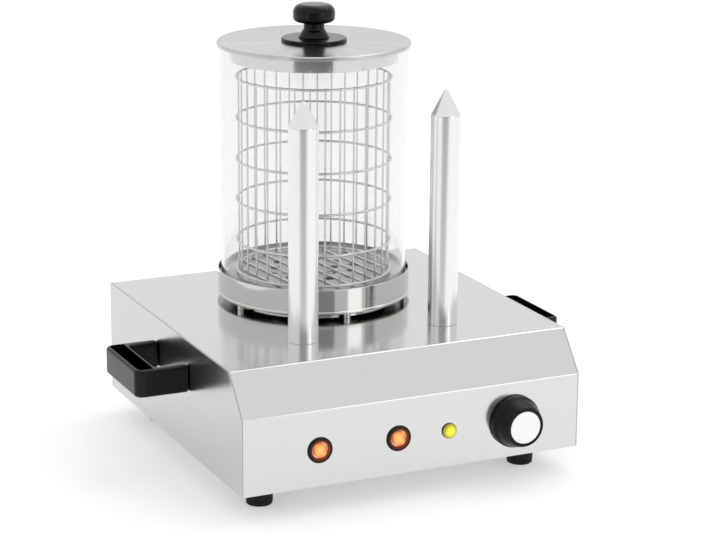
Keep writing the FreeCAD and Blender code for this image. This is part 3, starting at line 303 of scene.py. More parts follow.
# %% Lens material
def lens_material(name, rim, middle, rim_light, middle_light, shine=0.5):
    """Coloured plastic that glows from its middle."""
    material, tree, shader = new_material(name)
    glow = add_node(tree, "ShaderNodeAttribute", attribute_name="glow").outputs["Fac"]
    tint = add_node(tree, "ShaderNodeMix", {"Factor": glow, "A": hex_colour(rim), "B": hex_colour(middle)},
                    data_type="RGBA")
    colour = tint.outputs["Result"]
    light = add_node(tree, "ShaderNodeMapRange", {"Value": glow, "To Min": rim_light, "To Max": middle_light})
    skin = grain(tree, (3, 3, 3), 2.0).outputs["Fac"]
    rough = add_node(tree, "ShaderNodeMapRange", {"Value": skin, "To Min": 0.1, "To Max": 0.18})
    bumps = add_node(tree, "ShaderNodeBump", {"Height": skin, "Distance": 0.01 * MM})
    feed(shader, Base_Color=colour, Emission_Color=colour, IOR=1.58, Specular_IOR_Level=shine,
         Roughness=rough.outputs["Result"], Normal=bumps.outputs["Normal"],
         Emission_Strength=light.outputs["Result"])
    return material


# Amber polycarbonate from a polished mould, lit from behind: orange, pale in the middle.
rocker_orange = lens_material("lit orange polycarbonate", "#B84A16", "#F8A850", 0.15, 0.6)
# The polyamide bezel round it: black, with a painted reddish glow on its inner edge for the rocker lamp's
# light.
bezel_painted_glow = lens_material("black polyamide with painted lamp glow", "#120806", "#A04A1C", 0.0, 0.2, 0.15)
# Yellow polycarbonate, lit: lemon yellow that turns olive towards its rim.
lamp_yellow = lens_material("lit yellow polycarbonate", "#8A8418", "#F2E030", 0.05, 0.6)
print("lit:", rocker_orange.name, bezel_painted_glow.name, lamp_yellow.name, sep=", ")

# %% [markdown]
# ## Shapes
#
# Most pieces are either turned about an axis or cut from a flat outline. Real edges are never
# sharp, so a corner of an outline may carry a radius, and one helper replaces it by an arc.
# Measures are in millimetres, as on a drawing, and become metres when the mesh is made. Weighted
# normals keep the large flat and straight faces exact beside their small rounded edges, which
# matters on mirror-like metal.

# %% Outlines with rounded corners
def soften(corners, closed=True, steps=6):
    """Puts an arc in place of each corner that has a radius as its third number."""
    points = []
    for i, corner in enumerate(corners):
        here = Vector(corner[:2])
        if len(corner) < 3:
            points.append(here)
            continue
        radius = corner[2]
        come = (Vector(corners[i - 1][:2]) - here).normalized()
        leave = (Vector(corners[(i + 1) % len(corners)][:2]) - here).normalized()
        half = come.angle(leave) / 2
        middle = here + (come + leave).normalized() * radius / math.sin(half)
        first = here + come * radius / math.tan(half) - middle
        last = here + leave * radius / math.tan(half) - middle
        sweep = math.atan2(first.x * last.y - first.y * last.x, first.dot(last))
        for k in range(steps + 1):
            angle = sweep * k / steps
            points.append(middle + Vector((first.x * math.cos(angle) - first.y * math.sin(angle),
                                           first.x * math.sin(angle) + first.y * math.cos(angle))))
    return points


print("a square with one soft corner has", len(soften([(0, 0, 1), (4, 0), (4, 4), (0, 4)])), "points")

# %% [markdown]
# An outline becomes a solid in two ways. Turned pieces come off a lathe or a spinning chuck: their
# outline is half of the section, and it goes once round the axis. A point on the axis stays a
# single point, so that the pole is closed. Sheets and bars are slabs: an outline gets a thickness.

# %% Meshes from outlines
ON_AXIS = 1e-6
UPRIGHT = Matrix.Identity(4)
TO_FRONT = Matrix.Rotation(math.radians(90), 4, "X")
TO_BACK = Matrix.Rotation(math.radians(-90), 4, "X")


def new_piece(name, bm):
    """An object at the origin from a mesh in millimetres."""
    bmesh.ops.recalc_face_normals(bm, faces=bm.faces)
    bm.transform(Matrix.Scale(MM, 4))
    mesh = bpy.data.meshes.new(name)
    bm.to_mesh(mesh)
    bm.free()
    piece = bpy.data.objects.new(name, mesh)
    bpy.context.scene.collection.objects.link(piece)
    return piece


def turned(name, section, centre, turn=UPRIGHT, ring=False, steps=96):
    """Turns (radius, height) points about an axis; a ring's section is closed and misses the axis."""
    bm = bmesh.new()
    rows = []
    for radius, height in section:
        turns = [math.tau * i / steps for i in range(steps if radius > ON_AXIS else 1)]
        rows.append([bm.verts.new((radius * math.cos(a), radius * math.sin(a), height)) for a in turns])
    pairs = list(zip(rows, rows[1:] + rows[:1]))
    for low, high in pairs if ring else pairs[:-1]:
        for i in range(steps):
            j = i + 1
            corners = [low[i % len(low)], low[j % len(low)], high[j % len(high)], high[i % len(high)]]
            corners = list(dict.fromkeys(corners))
            if len(corners) > 2:
                bm.faces.new(corners)
    bm.transform(Matrix.Translation(centre) @ turn)
    return new_piece(name, bm)


def slab(name, outline, start, thickness, across="X"):
    """A sheet or bar: an outline pushed along an axis. Across X it lies in YZ, across Z in XY."""
    bm = bmesh.new()
    ends = []
    for reach in (start, start + thickness):
        place = [(reach, a, b) if across == "X" else (a, b, reach) for a, b in outline]
        ends.append([bm.verts.new(point) for point in place])
    for i in range(len(outline)):
        bm.faces.new([ends[0][i - 1], ends[0][i], ends[1][i], ends[1][i - 1]])
    bm.faces.new(ends[0])
    bm.faces.new(ends[1])
    return new_piece(name, bm)


print("outlines are turned round an axis or pushed to a thickness")

# %% [markdown]
# Modifiers do the rest: a Bevel rounds what is still sharp, and a Boolean cuts openings. Their result is
# written into the mesh at once, so that no piece keeps its modifiers.
# Dressing a piece smooths it but keeps its sharp edges, paints it, and says which body it moves
# with and which CAD piece it replaces.

# %% Finishing a mesh
def plain_mesh(piece):
    """Puts the piece's mesh as its modifiers leave it in place of its own."""
    graph = bpy.context.evaluated_depsgraph_get()
    mesh = bpy.data.meshes.new_from_object(piece.evaluated_get(graph), preserve_all_data_layers=True,
                                           depsgraph=graph)
    piece.modifiers.clear()
    piece.data = mesh
    mesh.name = piece.name


def bevelled(piece, width, segments=3, angle=35):
    """Rounds every edge sharper than the angle."""
    edge = piece.modifiers.new("edges", "BEVEL")
    edge.width = width * MM
    edge.segments = segments
    edge.limit_method = "ANGLE"
    edge.angle_limit = math.radians(angle)
    plain_mesh(piece)
    return piece


def cut_out(piece, tool):
    """Cuts the tool's shape out of the piece and removes the tool."""
    step = piece.modifiers.new("cut", "BOOLEAN")
    step.operation = "DIFFERENCE"
    step.solver = "EXACT"
    step.object = tool
    plain_mesh(piece)
    bpy.data.objects.remove(tool)
    return piece


def joined(name, pieces):
    """Several meshes as one piece."""
    bm = bmesh.new()
    for piece in pieces:
        bm.from_mesh(piece.data)
        bpy.data.objects.remove(piece)
    mesh = bpy.data.meshes.new(name)
    bm.to_mesh(mesh)
    bm.free()
    whole = bpy.data.objects.new(name, mesh)
    bpy.context.scene.collection.objects.link(whole)
    return whole


def dress(piece, body, slot, material, *replaced, sharp=35):
    """Smooths a finished piece, gives it its material and lets it ride on its body."""
    piece.data.shade_smooth()
    piece.data.set_sharp_from_angle(angle=math.radians(sharp))
    weights = piece.modifiers.new("normals", "WEIGHTED_NORMAL")
    weights.keep_sharp = True
    plain_mesh(piece)
    piece.data.materials.clear()
    piece.data.materials.append(material)
    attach(piece, body)
    if replaced:
        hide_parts(*replaced)
    print(f"{piece.name}: {len(piece.data.polygons)} faces")
    return piece


def span(node):
    """A CAD piece's lowest corner, highest corner and middle in millimetres."""
    low, high = (Vector(corner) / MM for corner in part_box(node))
    return low, high, (low + high) / 2


glass_low, glass_high, pot = span("glass_cylinder")
print("the glass is", round(glass_high.x - glass_low.x), "mm across")

# %% [markdown]
# ## The casing
#
# One sheet is folded twice on a press brake and makes the front band, the slope and the top. A
# fold has a radius of about twice the sheet's thickness outside, and it catches the light as a
# thin bright line. The side panels are flat sheets that cover the ends, so a fine dark seam shows
# between them and the folded sheet.

# %% Folded sheet
SHEET = 1.2
BAND_HEIGHT = 79
SLOPE_RUN = 33
FOLD_RADIUS = 2.6
SEAM = 0.25
BASIN_HOLE = 79.3
CUT_REACH = 9

low, high, _ = span("casing_wrap")
front, back, foot_level, top = low.y, high.y, low.z, high.z
slope_rise = top - foot_level - BAND_HEIGHT
slope = math.hypot(SLOPE_RUN, slope_rise)
fold_low = SHEET * (slope - slope_rise) / SLOPE_RUN
fold_high = SHEET * (slope - SLOPE_RUN) / slope_rise
inner_fold = FOLD_RADIUS - SHEET

wrap_outline = soften([
    (front, foot_level), (front, foot_level + BAND_HEIGHT, FOLD_RADIUS),
    (front + SLOPE_RUN, top, FOLD_RADIUS), (back, top),
    (back, top - SHEET), (front + SLOPE_RUN + fold_high, top - SHEET, inner_fold),
    (front + SHEET, foot_level + BAND_HEIGHT - fold_low, inner_fold), (front + SHEET, foot_level)])
wrap = slab("folded_casing", wrap_outline, low.x + SEAM, high.x - low.x - 2 * SEAM)
below, above = top - CUT_REACH, top + CUT_REACH
opening = turned("basin_opening", [(0, below), (BASIN_HOLE, below), (BASIN_HOLE, above), (0, above)],
                 (pot.x, pot.y, 0), steps=128)
dress(cut_out(wrap, opening), "base", "stainless_casing", casing_steel, "casing_wrap", sharp=25)

# %% [markdown]
# Each end of the casing is closed by a flat sheet with the same slanting outline, brushed from
# front to back. Its cut edges are broken only a little, so a slab with a fine bevel will do.

# %% Side panels
PANEL_EDGE = 0.35
side_low, side_high, _ = span("left_side_panel")
for side, x in (("left", side_low.x), ("right", -side_low.x - SHEET)):
    panel = slab(f"{side}_panel", [
        (side_low.y, foot_level), (side_low.y, foot_level + BAND_HEIGHT), (side_low.y + SLOPE_RUN, top),
        (side_high.y, top), (side_high.y, foot_level)], x, SHEET)
    bevelled(panel, PANEL_EDGE, 2, 20)
    dress(panel, "base", "stainless_casing", side_steel_in_painted_shade, f"{side}_side_panel")

# %% [markdown]
# ## Geometry Nodes
#
# What repeats on the machine, such as its feet, perforations, hoops and wires, is made by Geometry
# Nodes: one copy goes on every point of a simple pattern. Such a tree is built in the script too.
# Its sizes are named inputs, set on the modifier by each socket's identifier. The result is
# turned into a plain mesh at once.

# %% Helpers for Geometry Nodes
def new_tree(name, sizes):
    """A tree with its named size inputs in metres, and the sockets that give them inside."""
    tree = bpy.data.node_groups.new(name, "GeometryNodeTree")
    tree.interface.new_socket("Geometry", in_out="INPUT", socket_type="NodeSocketGeometry")
    for size in sizes:
        tree.interface.new_socket(size, in_out="INPUT", socket_type="NodeSocketFloat")
    tree.interface.new_socket("Geometry", in_out="OUTPUT", socket_type="NodeSocketGeometry")
    return tree, add_node(tree, "NodeGroupInput").outputs


def finish_tree(tree, geometry, material):
    """Realises the instances, paints them and hands them out."""
    real = add_node(tree, "GeometryNodeRealizeInstances", {"Geometry": geometry})
    painted = add_node(tree, "GeometryNodeSetMaterial", {"Geometry": real.outputs[0], "Material": material})
    add_node(tree, "NodeGroupOutput", {"Geometry": painted.outputs[0]})
    print(tree.name, "has", len(tree.nodes), "nodes")


def grow(piece, tree, sizes):
    """Runs the tree on the piece with its sizes in millimetres."""
    step = piece.modifiers.new("shape", "NODES")
    step.node_group = tree
    for item in tree.interface.items_tree:
        if item.in_out == "INPUT" and item.name in sizes:
            step[item.identifier] = sizes[item.name] * MM
    plain_mesh(piece)
    return piece


print("trees take their sizes in millimetres and work in metres")

# %% [markdown]
# ## Handles and feet
#
# The carrying handles are bridge-shaped mouldings. Their outer corners have a large radius and
# every edge is rounded to be kind to the hand: an outline with arcs, pushed to its height, and a
# bevel do both. A thick bar would sink as it cools in the mould, so it is cored out from above,
# and a Boolean cuts that pocket.

# %% Carrying handles
HANDLE_BAR = 24
HANDLE_LEG = 10
HANDLE_CORNER = 9
GAP_CORNER = 5
HANDLE_EDGE = 3.2
HANDLE_WALL = 3.8
HANDLE_POCKET = 18
for side, sign in (("left", -1), ("right", 1)):
    low, high, _ = span(f"{side}_handle")
    root, tip = (high.x, low.x) if sign < 0 else (low.x, high.x)
    gap = tip - sign * HANDLE_BAR
    front_leg, back_leg = low.y + HANDLE_LEG, high.y - HANDLE_LEG
    outline = soften([
        (root, low.y), (tip, low.y, HANDLE_CORNER), (tip, high.y, HANDLE_CORNER), (root, high.y),
        (root, back_leg), (gap, back_leg, GAP_CORNER), (gap, front_leg, GAP_CORNER), (root, front_leg)])
    handle = slab(f"{side}_grip", outline, low.z, high.z - low.z, across="Z")
    bevelled(handle, HANDLE_EDGE, 5, 50)
    wall = sign * HANDLE_WALL
    pocket = slab("pocket", soften([
        (tip - wall, low.y + HANDLE_WALL, GAP_CORNER), (tip - wall, high.y - HANDLE_WALL, GAP_CORNER),
        (gap + wall, high.y - HANDLE_WALL, 2), (gap + wall, low.y + HANDLE_WALL, 2)]),
        high.z - HANDLE_POCKET, HANDLE_POCKET + CUT_REACH, across="Z")
    cut_out(handle, pocket)
    dress(handle, "base", "black_bakelite", bakelite, f"{side}_handle")

# %% [markdown]
# The feet are rubber turnings, a little wider at the top, with a well in the sole for the screw
# that holds them. One is turned, and a grid of two by two points puts a copy under each corner.

# %% Rubber feet
FOOT_INSET = Vector((39.5, 50.5))
case_low, case_high, _ = span("left_side_panel")
feet = turned("rubber_turned_feet", soften([
    (0, 12.6), (5.8, 12.6), (5.8, 0, 0.6), (13.4, 0, 1.6), (14.8, foot_level, 0.4), (0, foot_level)],
    closed=False), (0, 0, 0), steps=64)

tree, size = new_tree("feet under the corners", ["Across", "Along"])
grid = add_node(tree, "GeometryNodeMeshGrid", {
    "Size X": size["Across"], "Size Y": size["Along"], "Vertices X": 2, "Vertices Y": 2})
copies = add_node(tree, "GeometryNodeInstanceOnPoints", {
    "Points": grid.outputs["Mesh"], "Instance": size["Geometry"]})
finish_tree(tree, copies.outputs[0], rubber)
grow(feet, tree, {"Across": -2 * (case_low.x + FOOT_INSET.x),
                  "Along": case_high.y - case_low.y - 2 * FOOT_INSET.y})
feet.data.transform(Matrix.Translation((0, (case_low.y + case_high.y) / 2 * MM, 0)))
dress(feet, "base", "foot_rubber", rubber, "rubber_feet")

# %% [markdown]
# ## The steam pot's ring, plate and glass
#
# The seat ring is spun from sheet: a flat floor, an upright wall with a rolled rim, and a bead
# round its foot. Its section is closed and misses the axis, so it is turned as a ring. Arcs in the
# outline make the rim's roll and the bead, which both catch a line of light.

# %% Seat ring
low, high, _ = span("seat_ring")
radius = (high.x - low.x) / 2
ring_hole = 74
ring = turned("spun_seat_ring", soften([
    (ring_hole, low.z), (radius + 0.9, low.z, 1.0), (radius + 0.9, low.z + 2.6, 1.0), (radius, low.z + 3.2),
    (radius, high.z, 0.59), (radius - SHEET, high.z, 0.59), (radius - SHEET, low.z + SHEET, 1.5),
    (ring_hole, low.z + SHEET)]), (pot.x, pot.y, 0), ring=True, steps=160)
dress(ring, "ring", "stainless_bright", ring_steel_in_painted_shade, "seat_ring")

# %% [markdown]
# The ring stands on five short studs, welded on near its wall, so that steam and drops get out
# below it. They are one turned stud on each of the five points of a circle.

# %% Ring feet
low, high, _ = span("seat_ring_feet")
STUD_RADIUS = 4
STUDS = 5
STUD_TURN = math.radians(-93)
studs = turned("ring_feet", soften([
    (0, low.z), (STUD_RADIUS, low.z, 0.6), (STUD_RADIUS, high.z), (0, high.z)], closed=False),
    (0, 0, 0), steps=32)

tree, size = new_tree("studs on a circle", ["Circle"])
circle = add_node(tree, "GeometryNodeMeshCircle", {"Vertices": STUDS, "Radius": size["Circle"]})
aligned = add_node(tree, "GeometryNodeTransform", {
    "Geometry": circle.outputs["Mesh"], "Rotation": (0, 0, STUD_TURN)})
copies = add_node(tree, "GeometryNodeInstanceOnPoints", {
    "Points": aligned.outputs[0], "Instance": size["Geometry"]})
finish_tree(tree, copies.outputs[0], ring_steel_in_painted_shade)
grow(studs, tree, {"Circle": radius - STUD_RADIUS - SHEET})
studs.data.transform(Matrix.Translation((pot.x * MM, pot.y * MM, 0)))
dress(studs, "ring", "stainless_bright", ring_steel_in_painted_shade, "seat_ring_feet")

# %% [markdown]
# The steam plate is a shallow spun pan, turned over, with punched holes. The tree puts a drill on
# each point of three circles of six and one in the middle, and cuts all of them out at once.

# %% Perforated steam plate
PLATE = 1.0
low, high, _ = span("steam_plate")
skirt = (high.x - low.x) / 2
plate = turned("steam_plate_spun", soften([
    (0, high.z), (skirt, high.z, 1.8), (skirt, low.z), (skirt - PLATE, low.z),
    (skirt - PLATE, high.z - PLATE, 0.8), (0, high.z - PLATE)], closed=False), (0, 0, 0), steps=128)

tree, size = new_tree("perforations", ["Hole radius", "Pitch", "Level", "Depth"])
drill = add_node(tree, "GeometryNodeMeshCylinder", {
    "Vertices": 24, "Radius": size["Hole radius"], "Depth": size["Depth"]}).outputs["Mesh"]
# A circle's radius in pitches and its turn in degrees: together they make a hexagonal pattern.
circles = [(0.0, 0.0), (1.0, 0.0), (2.0, 0.0), (math.sqrt(3), 30.0)]
dots = []
for times, turn in circles:
    away = add_node(tree, "ShaderNodeMath", {0: size["Pitch"], 1: times}, operation="MULTIPLY")
    ring_of_six = add_node(tree, "GeometryNodeMeshCircle", {
        "Vertices": 6 if times else 3, "Radius": away.outputs[0]})
    put = add_node(tree, "GeometryNodeTransform", {
        "Geometry": ring_of_six.outputs["Mesh"], "Rotation": (0, 0, math.radians(turn))})
    dots.append(put.outputs[0])
all_dots = add_node(tree, "GeometryNodeJoinGeometry")
for dot in dots:
    tree.links.new(dot, all_dots.inputs[0])
lone_dots = add_node(tree, "GeometryNodeMergeByDistance", {
    "Geometry": all_dots.outputs[0], "Distance": 0.1 * MM})
raised = add_node(tree, "ShaderNodeCombineXYZ", {"Z": size["Level"]})
lifted = add_node(tree, "GeometryNodeTransform", {
    "Geometry": lone_dots.outputs[0], "Translation": raised.outputs[0]})
drills = add_node(tree, "GeometryNodeInstanceOnPoints", {"Points": lifted.outputs[0], "Instance": drill})
solid_drills = add_node(tree, "GeometryNodeRealizeInstances", {"Geometry": drills.outputs[0]})
drilled = add_node(tree, "GeometryNodeMeshBoolean", {
    "Mesh 1": size["Geometry"], "Mesh 2": solid_drills.outputs[0]}, operation="DIFFERENCE", solver="EXACT")
finish_tree(tree, drilled.outputs["Mesh"], plate_steel)
grow(plate, tree, {"Hole radius": 5.5, "Pitch": 24, "Level": high.z - PLATE / 2, "Depth": 5})
plate.data.transform(Matrix.Translation((pot.x * MM, pot.y * MM, 0)))
dress(plate, "plate", "stainless_bright", plate_steel, "steam_plate")

# %% [markdown]
# The glass is a plain tube that stands on the plate. Its ends are fire-polished, which rounds
# them, and the rounded rims show as bright lines. It is turned as a ring too.

# %% Glass cylinder
WALL = 3
RIM = 1.2
radius = (glass_high.x - glass_low.x) / 2
tube = turned("glass_tube", soften([
    (radius - WALL, glass_low.z, RIM), (radius, glass_low.z, RIM),
    (radius, glass_high.z, RIM), (radius - WALL, glass_high.z, RIM)]),
    (pot.x, pot.y, 0), ring=True, steps=160)
dress(tube, "glass", "glass_clear", glass, "glass_cylinder", sharp=60)

# %% [markdown]
# ## The wire basket
#
# Round stainless wire, spot welded: six hoops outside, thirty-two uprights inside them, and
# straight wires across the floor. It is all repetition, so three Geometry Nodes trees make it. A
# hoop is a circle swept with a round section and instanced on a column of points. An upright is
# a rod instanced on a circle of points. A floor wire is a rod stretched to its chord, which the
# tree works out from its distance to the middle.

# %% Hoops
low, high, _ = span("basket_hoops")
hoop_radius = (high.x - low.x) / 2
basket_floor, basket_top = span("basket_wires")[0].z, high.z
HOOP_WIRE = 2.6
WIRE = 2.0
HOOP_PITCH = 44.3
UPPER_HOOPS = 5
UPRIGHTS = 32
FLOOR_PITCH = 17
BASKET_TURN = math.radians(7)

tree, size = new_tree("hoops", ["Radius", "Wire radius", "Lowest", "Second", "Pitch"])
path = add_node(tree, "GeometryNodeCurvePrimitiveCircle", {"Resolution": 128, "Radius": size["Radius"]})
section = add_node(tree, "GeometryNodeCurvePrimitiveCircle", {
    "Resolution": 14, "Radius": size["Wire radius"]})
hoop = add_node(tree, "GeometryNodeCurveToMesh", {
    "Curve": path.outputs["Curve"], "Profile Curve": section.outputs["Curve"]})
first = add_node(tree, "GeometryNodeMeshLine", {
    "Count": 1, "Start Location": add_node(tree, "ShaderNodeCombineXYZ", {"Z": size["Lowest"]}).outputs[0]})
others = add_node(tree, "GeometryNodeMeshLine", {
    "Count": UPPER_HOOPS,
    "Start Location": add_node(tree, "ShaderNodeCombineXYZ", {"Z": size["Second"]}).outputs[0],
    "Offset": add_node(tree, "ShaderNodeCombineXYZ", {"Z": size["Pitch"]}).outputs[0]})
levels = add_node(tree, "GeometryNodeJoinGeometry")
for line in (first, others):
    tree.links.new(line.outputs["Mesh"], levels.inputs[0])
hoops = add_node(tree, "GeometryNodeInstanceOnPoints", {
    "Points": levels.outputs[0], "Instance": hoop.outputs[0]})
finish_tree(tree, hoops.outputs[0], wire_steel)

hoop_set = grow(new_piece("wire_hoops", bmesh.new()), tree, {
    "Radius": hoop_radius - HOOP_WIRE / 2, "Wire radius": HOOP_WIRE / 2,
    "Lowest": basket_floor + WIRE + HOOP_WIRE / 2,
    "Second": basket_top - HOOP_WIRE / 2 - (UPPER_HOOPS - 1) * HOOP_PITCH, "Pitch": HOOP_PITCH})
hoop_set.data.transform(Matrix.Translation((pot.x * MM, pot.y * MM, 0)))
dress(hoop_set, "basket", "basket_wire", wire_steel, "basket_hoops", sharp=60)

# %% [markdown]
# The uprights stand inside the hoops, on a circle of points. A rod is made round the origin, so it
# is first lifted by half its length, and then copied to each point.

# %% Uprights
tree, size = new_tree("uprights", ["Circle", "Wire radius", "Length", "Foot"])
rod = add_node(tree, "GeometryNodeMeshCylinder", {
    "Vertices": 12, "Radius": size["Wire radius"], "Depth": size["Length"]})
half_length = add_node(tree, "ShaderNodeMath", {0: size["Length"], 1: 0.5}, operation="MULTIPLY")
mid_height = add_node(tree, "ShaderNodeMath", {0: size["Foot"], 1: half_length.outputs[0]}, operation="ADD")
standing = add_node(tree, "ShaderNodeCombineXYZ", {"Z": mid_height.outputs[0]})
stood = add_node(tree, "GeometryNodeTransform", {
    "Geometry": rod.outputs["Mesh"], "Translation": standing.outputs[0]})
circle = add_node(tree, "GeometryNodeMeshCircle", {"Vertices": UPRIGHTS, "Radius": size["Circle"]})
uprights = add_node(tree, "GeometryNodeInstanceOnPoints", {
    "Points": circle.outputs["Mesh"], "Instance": stood.outputs[0]})
finish_tree(tree, uprights.outputs[0], wire_steel)
inner = hoop_radius - HOOP_WIRE
upright_set = grow(new_piece("uprights", bmesh.new()), tree, {
    "Circle": inner - WIRE / 2, "Wire radius": WIRE / 2, "Length": basket_top - basket_floor - WIRE,
    "Foot": basket_floor + WIRE})
print(UPRIGHTS, "uprights")

# %% [markdown]
# The floor wires are straight and lie side by side, each as long as the circle is wide at its
# place: twice the root of the reach squared less the distance squared. A rod of one metre is laid
# down and stretched to that chord as it is copied, which keeps its thickness. Uprights and floor
# wires are one piece, as in the CAD model, turned as the basket stands in the photograph.

# %% Floor wires
tree, size = new_tree("floor wires", ["Reach", "Wire radius", "Pitch", "Level"])
bar = add_node(tree, "GeometryNodeMeshCylinder", {
    "Vertices": 12, "Radius": size["Wire radius"], "Depth": 1.0})
lying = add_node(tree, "GeometryNodeTransform", {
    "Geometry": bar.outputs["Mesh"], "Rotation": (math.radians(90), 0, 0)})
FLOOR_WIRES = 2 * int(inner // FLOOR_PITCH) + 1
edge = add_node(tree, "ShaderNodeMath", {0: size["Pitch"], 1: -(FLOOR_WIRES - 1) / 2}, operation="MULTIPLY")
start = add_node(tree, "ShaderNodeCombineXYZ", {"X": edge.outputs[0], "Z": size["Level"]})
step = add_node(tree, "ShaderNodeCombineXYZ", {"X": size["Pitch"]})
row = add_node(tree, "GeometryNodeMeshLine", {
    "Count": FLOOR_WIRES, "Start Location": start.outputs[0], "Offset": step.outputs[0]})
place = add_node(tree, "GeometryNodeInputPosition")
across = add_node(tree, "ShaderNodeSeparateXYZ", {"Vector": place.outputs[0]}).outputs["X"]
reach_squared = add_node(tree, "ShaderNodeMath", {0: size["Reach"], 1: size["Reach"]}, operation="MULTIPLY")
across_squared = add_node(tree, "ShaderNodeMath", {0: across, 1: across}, operation="MULTIPLY")
remainder = add_node(tree, "ShaderNodeMath", {0: reach_squared.outputs[0], 1: across_squared.outputs[0]},
                     operation="SUBTRACT")
half_chord = add_node(tree, "ShaderNodeMath", {0: remainder.outputs[0]}, operation="SQRT")
chord = add_node(tree, "ShaderNodeMath", {0: half_chord.outputs[0], 1: 2.0}, operation="MULTIPLY")
stretch = add_node(tree, "ShaderNodeCombineXYZ", {"X": 1.0, "Y": chord.outputs[0], "Z": 1.0})
wires = add_node(tree, "GeometryNodeInstanceOnPoints", {
    "Points": row.outputs["Mesh"], "Instance": lying.outputs[0], "Scale": stretch.outputs[0]})
finish_tree(tree, wires.outputs[0], wire_steel)
floor_set = grow(new_piece("floor_wires", bmesh.new()), tree, {
    "Reach": inner + HOOP_WIRE / 2, "Wire radius": WIRE / 2, "Pitch": FLOOR_PITCH,
    "Level": basket_floor + WIRE / 2})

wire_set = joined("basket_round_wires", [upright_set, floor_set])
wire_set.data.transform(Matrix.Translation((pot.x * MM, pot.y * MM, 0))
                        @ Matrix.Rotation(BASKET_TURN, 4, "Z"))
dress(wire_set, "basket", "basket_wire", wire_steel, "basket_wires", sharp=60)

# %% [markdown]
# ## The lid
#
# The lid is a spun disc with a turned-down edge. Spinning and turning leave fine grooves round the axis,
# which roughness and bump give, and under light spun metal shows soft rays across them, which are painted
# sheen in its colour. One noise follows the distance from the axis and another the direction, so both stay
# fixed on the lid wherever it is seen from.

# %% Spun lid material
def spun_steel(name, code, shade, roughness, centre):
    """Steel with fine grooves round an axis and soft rays of painted sheen across them."""
    material, tree, shader = new_material(name)
    place = add_node(tree, "ShaderNodeTexCoord").outputs["Object"]
    from_axis = add_node(tree, "ShaderNodeVectorMath", {0: place, 1: Vector((centre.x, centre.y, 0)) * MM},
                         operation="SUBTRACT")
    level = add_node(tree, "ShaderNodeVectorMath", {0: from_axis.outputs[0], 1: (1, 1, 0)},
                     operation="MULTIPLY")
    heading = add_node(tree, "ShaderNodeVectorMath", {0: level.outputs[0]}, operation="NORMALIZE")
    away = add_node(tree, "ShaderNodeVectorMath", {0: level.outputs[0]}, operation="LENGTH").outputs["Value"]
    # Painted sheen: rays of lighter and darker grey by the direction from the axis.
    painted_sheen_rays = add_node(tree, "ShaderNodeTexNoise", {"Vector": heading.outputs[0], "Scale": 2.2, "Detail": 5.0})
    grooves = add_node(tree, "ShaderNodeTexNoise", {"W": away, "Scale": 1 / (1.2 * MM), "Detail": 2.0},
                       noise_dimensions="1D").outputs["Fac"]
    steep = add_node(tree, "ShaderNodeMapRange", {
        "Value": painted_sheen_rays.outputs["Fac"], "From Min": 0.35, "From Max": 0.65})
    tint = add_node(tree, "ShaderNodeMix", {"Factor": steep.outputs["Result"], "A": hex_colour(shade),
                                            "B": hex_colour(code)}, data_type="RGBA")
    rough = add_node(tree, "ShaderNodeMapRange", {
        "Value": grooves, "To Min": roughness - 0.04, "To Max": roughness + 0.04})
    turns = add_node(tree, "ShaderNodeBump", {"Height": grooves, "Distance": 0.0005 * MM})
    feed(shader, Base_Color=tint.outputs["Result"], Metallic=1.0, Roughness=rough.outputs["Result"],
         Normal=turns.outputs["Normal"])
    return material


# Stainless disc, spun and left satin: painted sheen in rays of lighter and darker grey runs out from its
# middle.
lid_steel = spun_steel("satin spun stainless", "#CACAC8", "#B4B4B2", 0.2, pot)
print(lid_steel.name, "round", tuple(round(number, 1) for number in pot))

# %% [markdown]
# The lid is turned with a hollow under it, as spun sheet is. Its collar is a strip rolled to a
# ring that goes loosely inside the glass and centres the lid. The heat guard is a thin pressed
# disc that keeps the knob cool. All three are sections with arcs at their edges.

# %% Lid, collar and heat guard
low, high, _ = span("lid")
radius = (high.x - low.x) / 2
lid = turned("spun_lid", soften([
    (0, high.z), (radius, high.z, 1.8), (radius, low.z, 0.5), (radius - SHEET, low.z, 0.5),
    (radius - SHEET, high.z - SHEET, 0.7), (0, high.z - SHEET)], closed=False), (pot.x, pot.y, 0), steps=160)
dress(lid, "lid_set", "stainless_bright", lid_steel, "lid")

low, high, _ = span("lid_collar")
radius = (high.x - low.x) / 2
collar = turned("centring_collar", soften([
    (radius - 1, low.z, 0.45), (radius, low.z, 0.45), (radius, high.z), (radius - 1, high.z)]),
    (pot.x, pot.y, 0), ring=True, steps=160)
dress(collar, "lid_set", "stainless_bright", collar_steel, "lid_collar")

low, high, _ = span("lid_heat_guard")
radius = (high.x - low.x) / 2
guard = turned("heat_guard_disc", soften([
    (0, low.z), (radius, low.z, 0.6), (radius, high.z, 1.4), (0, high.z)], closed=False), (pot.x, pot.y, 0))
dress(guard, "lid_set", "black_bakelite", bakelite, "lid_heat_guard")

# %% [markdown]
# The knob is a stock bakelite one with a thick rounded head on a narrow neck that flares out at
# its foot. The head overhangs the neck, so that fingers find a hold. Its two large arcs give the
# soft highlight that runs round it.

# %% Lid knob
HEAD_HEIGHT = 19
NECK = 11
low, high, _ = span("lid_knob")
radius = (high.x - low.x) / 2
head = high.z - HEAD_HEIGHT
knob = turned("lid_knob_turned", soften([
    (0, low.z), (17, low.z, 0.6), (15.6, low.z + 2.4, 1.2), (NECK, low.z + 9.5, 5), (NECK, head, 2),
    (radius, head, 5.5), (radius, high.z, 9), (0, high.z)], closed=False, steps=10), (pot.x, pot.y, 0))
dress(knob, "lid_set", "black_bakelite", bakelite, "lid_knob")

# %% [markdown]
# ## The bun spikes
#
# Each spike is a turned and polished bar with a blunt point. The shoulder between the bar and its
# cone is broken with a small radius, which shows as a soft band.

